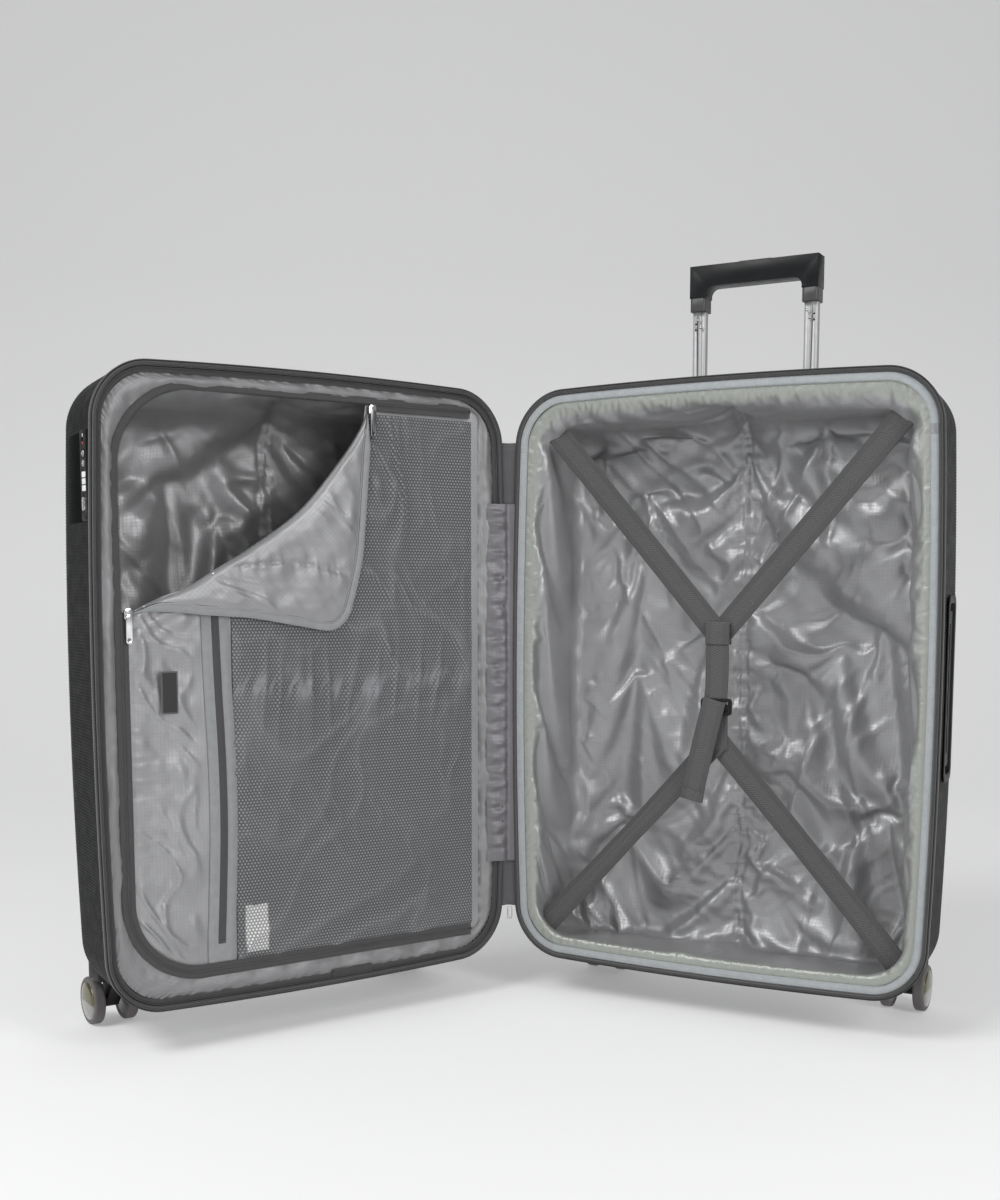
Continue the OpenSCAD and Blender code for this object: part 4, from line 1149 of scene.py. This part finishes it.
# The folded corner
rows = 70
s = np.linspace(0, 1, rows)[:, None]
fx, fz = fold_line[:, 0][None], fold_line[:, 1][None]
ex, ez = edge_line[:, 0][None], edge_line[:, 1][None]
x, z = fx + (ex - fx) * s, fz + (ez - fz) * s
reach = np.hypot(ex - fx, ez - fz)
in_from_fold, in_from_edge = reach * s, reach * (1 - s)
seam_gap = to_line(x, z, seam_line)
puff = smoothstep(0, 0.02, in_from_fold) * smoothstep(0, 0.02, in_from_edge)
roll = np.sqrt(np.clip(1 - (1 - np.clip(in_from_fold / 0.007, 0, 1)) ** 2, 0, 1))
depth = 0.0100 - 0.0056 * roll - 0.0014 * puff
depth = depth - 0.0034 * puff * creases(x, z, 24, 0.070, 61)
depth = depth - 0.0010 * puff * wrinkle(x, z, 0.07, 62)
around_seam = np.exp(-seam_gap / 0.007)
gathers = wrinkle(x, z * 0.2, 0.016, 63, 2)
depth = depth + puff * (0.0018 * np.exp(-(seam_gap / 0.0024) ** 2) - 0.0012 * around_seam * gathers)
bottom = smoothstep(0.05, 0.0, in_from_edge) * smoothstep(0.25, 0.45, x)
depth = depth - 0.0015 * bottom
flap_points = np.stack([x, np.clip(depth, 0.0012, 0.0102), z], -1)
flap = piece("divider_corner", flap_points, grid_faces(rows, 160), "lid", FLAP_SATIN,
             uv=cloth_uv(x * 0.7 + z * 0.7, z * 0.7 - x * 0.7))
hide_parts("divider_flap")
hem = flap_points[-1].copy()
n = normals_along(hem)
hem[:, 1] -= 0.0006
taper = np.clip(np.minimum(np.arange(160), 159 - np.arange(160)) / 12, 0.1, 1)[:, None]
hem_tape = sweep("corner_hem", hem, n * taper, [(-8.0, 0.0), (-7.6, -0.6), (-4.0, -0.8), (-0.4, -0.6), (0.0, 0.0),
                 (-4.0, 0.5)], "lid", BORDER_TAPE, closed=False)
hem_zip = sweep("corner_zip_half", hem + np.array([0, 0.0012, 0]), n * taper, [(-3.0, 0.3), (-3.0, -0.3),
                (1.2, -0.4), (2.4, -0.8), (3.2, 0.0), (2.4, 0.7)], "lid", TRACK, closed=False)


def tag(name, x_range, z_range, y, material):
    """A small sewn label with rounded edges."""
    (x0, x1), (z0, z1) = x_range, z_range
    mid, half = ((x0 + x1) / 2, (z0 + z1) / 2), ((x1 - x0) / 2, (z1 - z0) / 2)
    rim = outline(mid, half, 0.0012, (4, 1, 1))
    face = outline(mid, (half[0] - 0.0004, half[1] - 0.0004), 0.0009, (4, 1, 1))
    points = np.concatenate([at_depth(rim, y + 0.0006), at_depth(rim, y + 0.0002), at_depth(face, y)])
    made = piece(name, points, tube_faces(3, len(rim)), "lid", material, uv=points[:, [0, 2]], solid=True)
    return made


woven = tag("woven_tag", (0.433, 0.452), (0.375, 0.421), 0.0026, LABEL_EDGE)
tag("woven_tag_field", (0.4346, 0.4504), (0.3766, 0.4194), 0.0022, LABEL)
tag("care_tag", CARE_X, CARE_Z, 0.0094, CARE)
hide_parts("sewn_labels")

# ---- hinge ----

COVER_ROWS, TAPE_ROWS = 260, 60
z = np.linspace(0.168, 0.612, COVER_ROWS)
lid_side = [(0.0290, 0.0072), (0.0245, 0.0050), (0.0190, 0.0036), (0.0140, 0.0022), (0.0105, 0.0010),
            (0.0075, -0.0004), (0.0045, -0.0005), (0.0020, 0.0002)]
base_side = [(0.0020, 0.0006), (0.0045, 0.0004), (0.0075, 0.0012)]
cover = np.array([to_row(np.stack(np.broadcast_arrays(u, v, z), -1), side)
                  for side, line in (("lid", lid_side), ("base", base_side)) for u, v in line])
front = to_row([0, -1, 0], "lid") - to_row([0, 0, 0], "lid")
crinkle = wrinkle(np.arange(len(cover))[:, None] * 0.003, z[None, :], 0.022, 71, 4)
amount = np.array([0.1, 0.6, 1, 1, 0.9, 0.6, 0.4, 0.2, 0.1, 0.1, 0.1])[:, None]
cover = cover + front * (0.0018 * crinkle * amount)[..., None] + front * (0.0012 * amount)[..., None]
hinge_cloth = piece("hinge_cloth", cover, grid_faces(len(cover), COVER_ROWS), "row", HINGE_SATIN, body="",
                    uv=cloth_uv(z[None, :], 0.004 * np.arange(len(cover))[:, None]))
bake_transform(hinge_cloth)
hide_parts("hinge_cover")

z = np.linspace(0.110, 0.686, TAPE_ROWS)
strip = []
drawn_in = SIDE_BOW * ((z - MID_Z) / (HEIGHT / 2)) ** 2
for side, x, bow in (("lid", 0.0046, 1), ("lid", 0.0018, 0.4), ("lid", 0.0004, 0), ("base", 0.0004, 0),
                     ("base", 0.0018, 0.4), ("base", 0.0046, 1)):
    for y in (0.0032, 0.0040):
        strip.append(to_row(np.stack(np.broadcast_arrays(x + bow * drawn_in, y, z), -1), side))
strip = np.array(strip[0::2] + strip[1::2][::-1])
first_row, last_row = np.arange(len(strip)) * TAPE_ROWS, (len(strip) - 1) * TAPE_ROWS
faces = grid_faces(len(strip), TAPE_ROWS)
faces += [[last_row + k, k, k + 1, last_row + k + 1] for k in range(TAPE_ROWS - 1)]
faces += [first_row.tolist(), (first_row + TAPE_ROWS - 1).tolist()]
hinge_tape = piece("hinge_tape", strip, faces, "row", HINGE_TAPE, body="", solid=True,
                   uv=cloth_uv(z[None, :], 0.0012 * np.arange(len(strip))[:, None]))
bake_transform(hinge_tape)
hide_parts("hinge_strip")

# ---- straps ----


def webbing(name, points, across, width, n=90):
    """Woven strap along a smooth line: ribs along its length and square edges. across is one direction or some."""
    path = spline(points, n)
    t = unit(np.gradient(path, axis=0))
    wide = spline(across, n) if np.ndim(across[0]) else np.broadcast_to(across, path.shape)
    wide = unit(wide - t * (wide * t).sum(1)[:, None])
    out = np.cross(wide, t)
    out *= np.where(out[:, 1:2] > 0, -1, 1)
    v = np.linspace(-1, 1, 25)
    rib = 0.00022 * (0.5 + 0.5 * np.cos(TAU * v * 4)) * (np.abs(v) < 0.95)
    front = np.stack([v, STRAP_THICK / 2 + rib], -1)
    back = np.stack([np.linspace(1, -1, 7), np.full(7, -STRAP_THICK / 2)], -1)
    profile = np.concatenate([front, back]) * (width / 2, 1)
    points = path[:, None] + wide[:, None] * profile[None, :, 0, None] + out[:, None] * profile[None, :, 1, None]
    made = piece(name, points, tube_faces(n, len(profile)), "base", WEBBING, solid=True,
                 uv=cloth_uv(run_along(path)[:, None], profile[None, :, 0]))
    return made


STRAP, STRAP_THICK = 0.028, 0.0014
JOIN_TOP, JOIN_LOW = (0.264, 0.0285, 0.4545), (0.264, 0.0285, 0.330)
corner_top = [(0.040, 0.0225, 0.713), (0.488, 0.0225, 0.713)]
corner_low = [(0.042, 0.0225, 0.086), (0.486, 0.0225, 0.086)]


def strap_line(corner, join, sag, lift):
    """Points from a corner to a junction, sagging into the case and lifted off the strap beside it."""
    a, b, t = np.array(corner), np.array(join), np.linspace(0, 1, 5)[:, None]
    return a + (b - a) * t + (sag * np.sin(math.pi * t) + lift * t) * (0, 1, 0)


upper, lower = [], []
for k, c in enumerate(corner_top):
    flat_across = np.cross(np.array(JOIN_TOP) - np.array(c), (0, 1, 0))
    line = strap_line(c, JOIN_TOP, 0.002, 0.0014 * k)
    upper.append(webbing(f"upper_strap_{k + 1}", line, flat_across, STRAP))
for k, c in enumerate(corner_low):
    flat_across = np.cross(np.array(JOIN_LOW) - np.array(c), (0, 1, 0))
    flat_across = flat_across / np.linalg.norm(flat_across)
    twist = 0.42 if k == 0 else 0.12
    turns = [flat_across + np.array([0, twist * f, 0]) for f in (0.2, 1.0, 1.0, 0.3)]
    lower.append(webbing(f"lower_strap_{k + 1}", strap_line(c, JOIN_LOW, 0.003, 0.0014 * k), turns, STRAP))
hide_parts("upper_cross_straps")
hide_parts("lower_cross_straps")

# Pieces down the middle: name, points as x from the middle, depth and height, direction across, width, rows
SIDEWAYS, TAIL_ACROSS = (1, 0, 0), (0.985, 0, 0.17)
MIDDLE_STRAPS = [
    ("centre_strap_upper", [(-0.0010, 0.0236, 0.3735), (0, 0.0246, 0.400), (0, 0.0250, 0.440),
                            (0, 0.0244, 0.4640)], SIDEWAYS, STRAP, 60),
    ("strap_loop", [(0, 0.0232, 0.4440), (0, 0.0230, 0.4620), (0, 0.0262, 0.4690), (0, 0.0316, 0.4650),
                    (0, 0.0322, 0.4440)], SIDEWAYS, 0.0286, 50),
    ("strap_tail", [(-0.0012, 0.0212, 0.3790), (-0.0045, 0.0206, 0.3660), (-0.0130, 0.0200, 0.3300),
                    (-0.0230, 0.0198, 0.2850), (-0.0275, 0.0200, 0.2590)], TAIL_ACROSS, STRAP, 70),
    ("strap_tail_hem", [(-0.0252, 0.0184, 0.2710), (-0.0277, 0.0184, 0.2590)], TAIL_ACROSS, 0.0276, 8),
    ("centre_strap_lower", [(0, 0.0270, 0.3720), (0, 0.0280, 0.3500), (0, 0.0276, 0.3200)], SIDEWAYS, 0.026, 30),
]
middle = [webbing(name, np.array(points) + (JOIN_TOP[0], 0, 0), across, width, n)
          for name, points, across, width, n in MIDDLE_STRAPS]
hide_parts("centre_strap")

# ---- small fittings ----


def lathe(name, centre, axis, profile, side, material, body=None, n=28, masks=None):
    """A turned piece from (radius, height along the axis) pairs; the first and last radius are closed."""
    axis = np.array(axis, float) / np.linalg.norm(axis)
    u = np.cross(axis, (0.0, 0.0, 1.0) if abs(axis[2]) < 0.9 else (1.0, 0.0, 0.0))
    u /= np.linalg.norm(u)
    v = np.cross(axis, u)
    turn = TAU * np.arange(n) / n
    points = np.array([np.array(centre) + r * (np.cos(t) * u + np.sin(t) * v) + h * axis
                       for r, h in profile for t in turn])
    masks = masks and masks(np.tile(turn, len(profile)))
    return piece(name, points, tube_faces(len(profile), n), side, material, body, solid=True, masks=masks)


for i in range(1, 5):
    joint = JOINTS[f"wheel_{i}_spin"]
    centre, axis = np.array(joint["pos_m"]), np.array(joint["axis"], float)
    axis /= np.linalg.norm(axis)
    co = np.array([v.co[:] for v in frame["nodes"][f"wheels_{i}"].data.vertices])
    reach = np.abs((co - centre) @ axis).max()
    for k, way in enumerate((1, -1)):
        # The mask marks each cap's upper half, painted dark as a painted reflection; the lower half is painted
        # light
        cap = lathe(f"hub_cap_{i}_{k + 1}", centre + axis * way * (reach - 0.0004), axis * way,
                    [(0.0218, -0.0030), (0.0226, 0.0004), (0.0218, 0.0014), (0.0160, 0.0026), (0.0060, 0.0032),
                     (0.0006, 0.0033)], "row", HUB_CAP, body=f"wheel_{i}",
                    masks=lambda turn: {"facet": np.sin(turn) < 0.1})

lock_x, lock_y = lock_high[0], (lock_low[1] + lock_high[1]) / 2
lock_face = np.array([lock_x - 0.0002, lock_y, 0.0])
for name, z, r, material in (("lock_lamp", 0.658, 0.0016, LAMP_RED), ("lock_keyhole", 0.666, 0.0021, STEEL)):
    dome = [(r, 0), (r * 0.9, 0.0005), (r * 0.5, 0.0009), (0.0002, 0.001)]
    lathe(name, lock_face + np.array([0, 0, z]), (1, 0, 0), dome, "lid", material, n=16)
for k, z in enumerate((0.6475, 0.6375)):
    slot_rim = lathe(f"lock_slot_{k + 1}", lock_face + np.array([0, 0, z]), (1, 0, 0),
                     [(0.0036, 0), (0.0034, 0.0007), (0.0026, 0.0007), (0.0023, 0.0002), (0.0002, 0.0002)],
                     "lid", STEEL, n=20)
end_piece = lathe("hinge_end", (0, 0.0030, 0.0920), (0, 0, 1), [(0.0008, 0), (0.0028, 0.001), (0.0034, 0.004),
                  (0.0034, 0.012), (0.0026, 0.0155), (0.0006, 0.0165)], "base", NYLON, n=20)
tab = tag("rim_tab", (0.195, 0.249), (0.0535, 0.0630), 0.0048, RIM)
grip_low, grip_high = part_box("grip_collars")
for k, x in enumerate((grip_low[0] + 0.012, grip_high[0] - 0.012)):
    for j in range(2):
        spot = (x + (0.0016 if j else -0.0016), grip_low[1] + 0.0024 - 0.0002, grip_low[2] - 0.010 - 0.009 * j)
        dome = [(0.0017, -0.001), (0.0016, 0.0003), (0.0009, 0.0007), (0.0002, 0.0008)]
        rivet = lathe(f"tube_rivet_{2 * k + j + 1}", spot, (0, -1, 0), dome, "row", STEEL, "trolley_inner", 14)
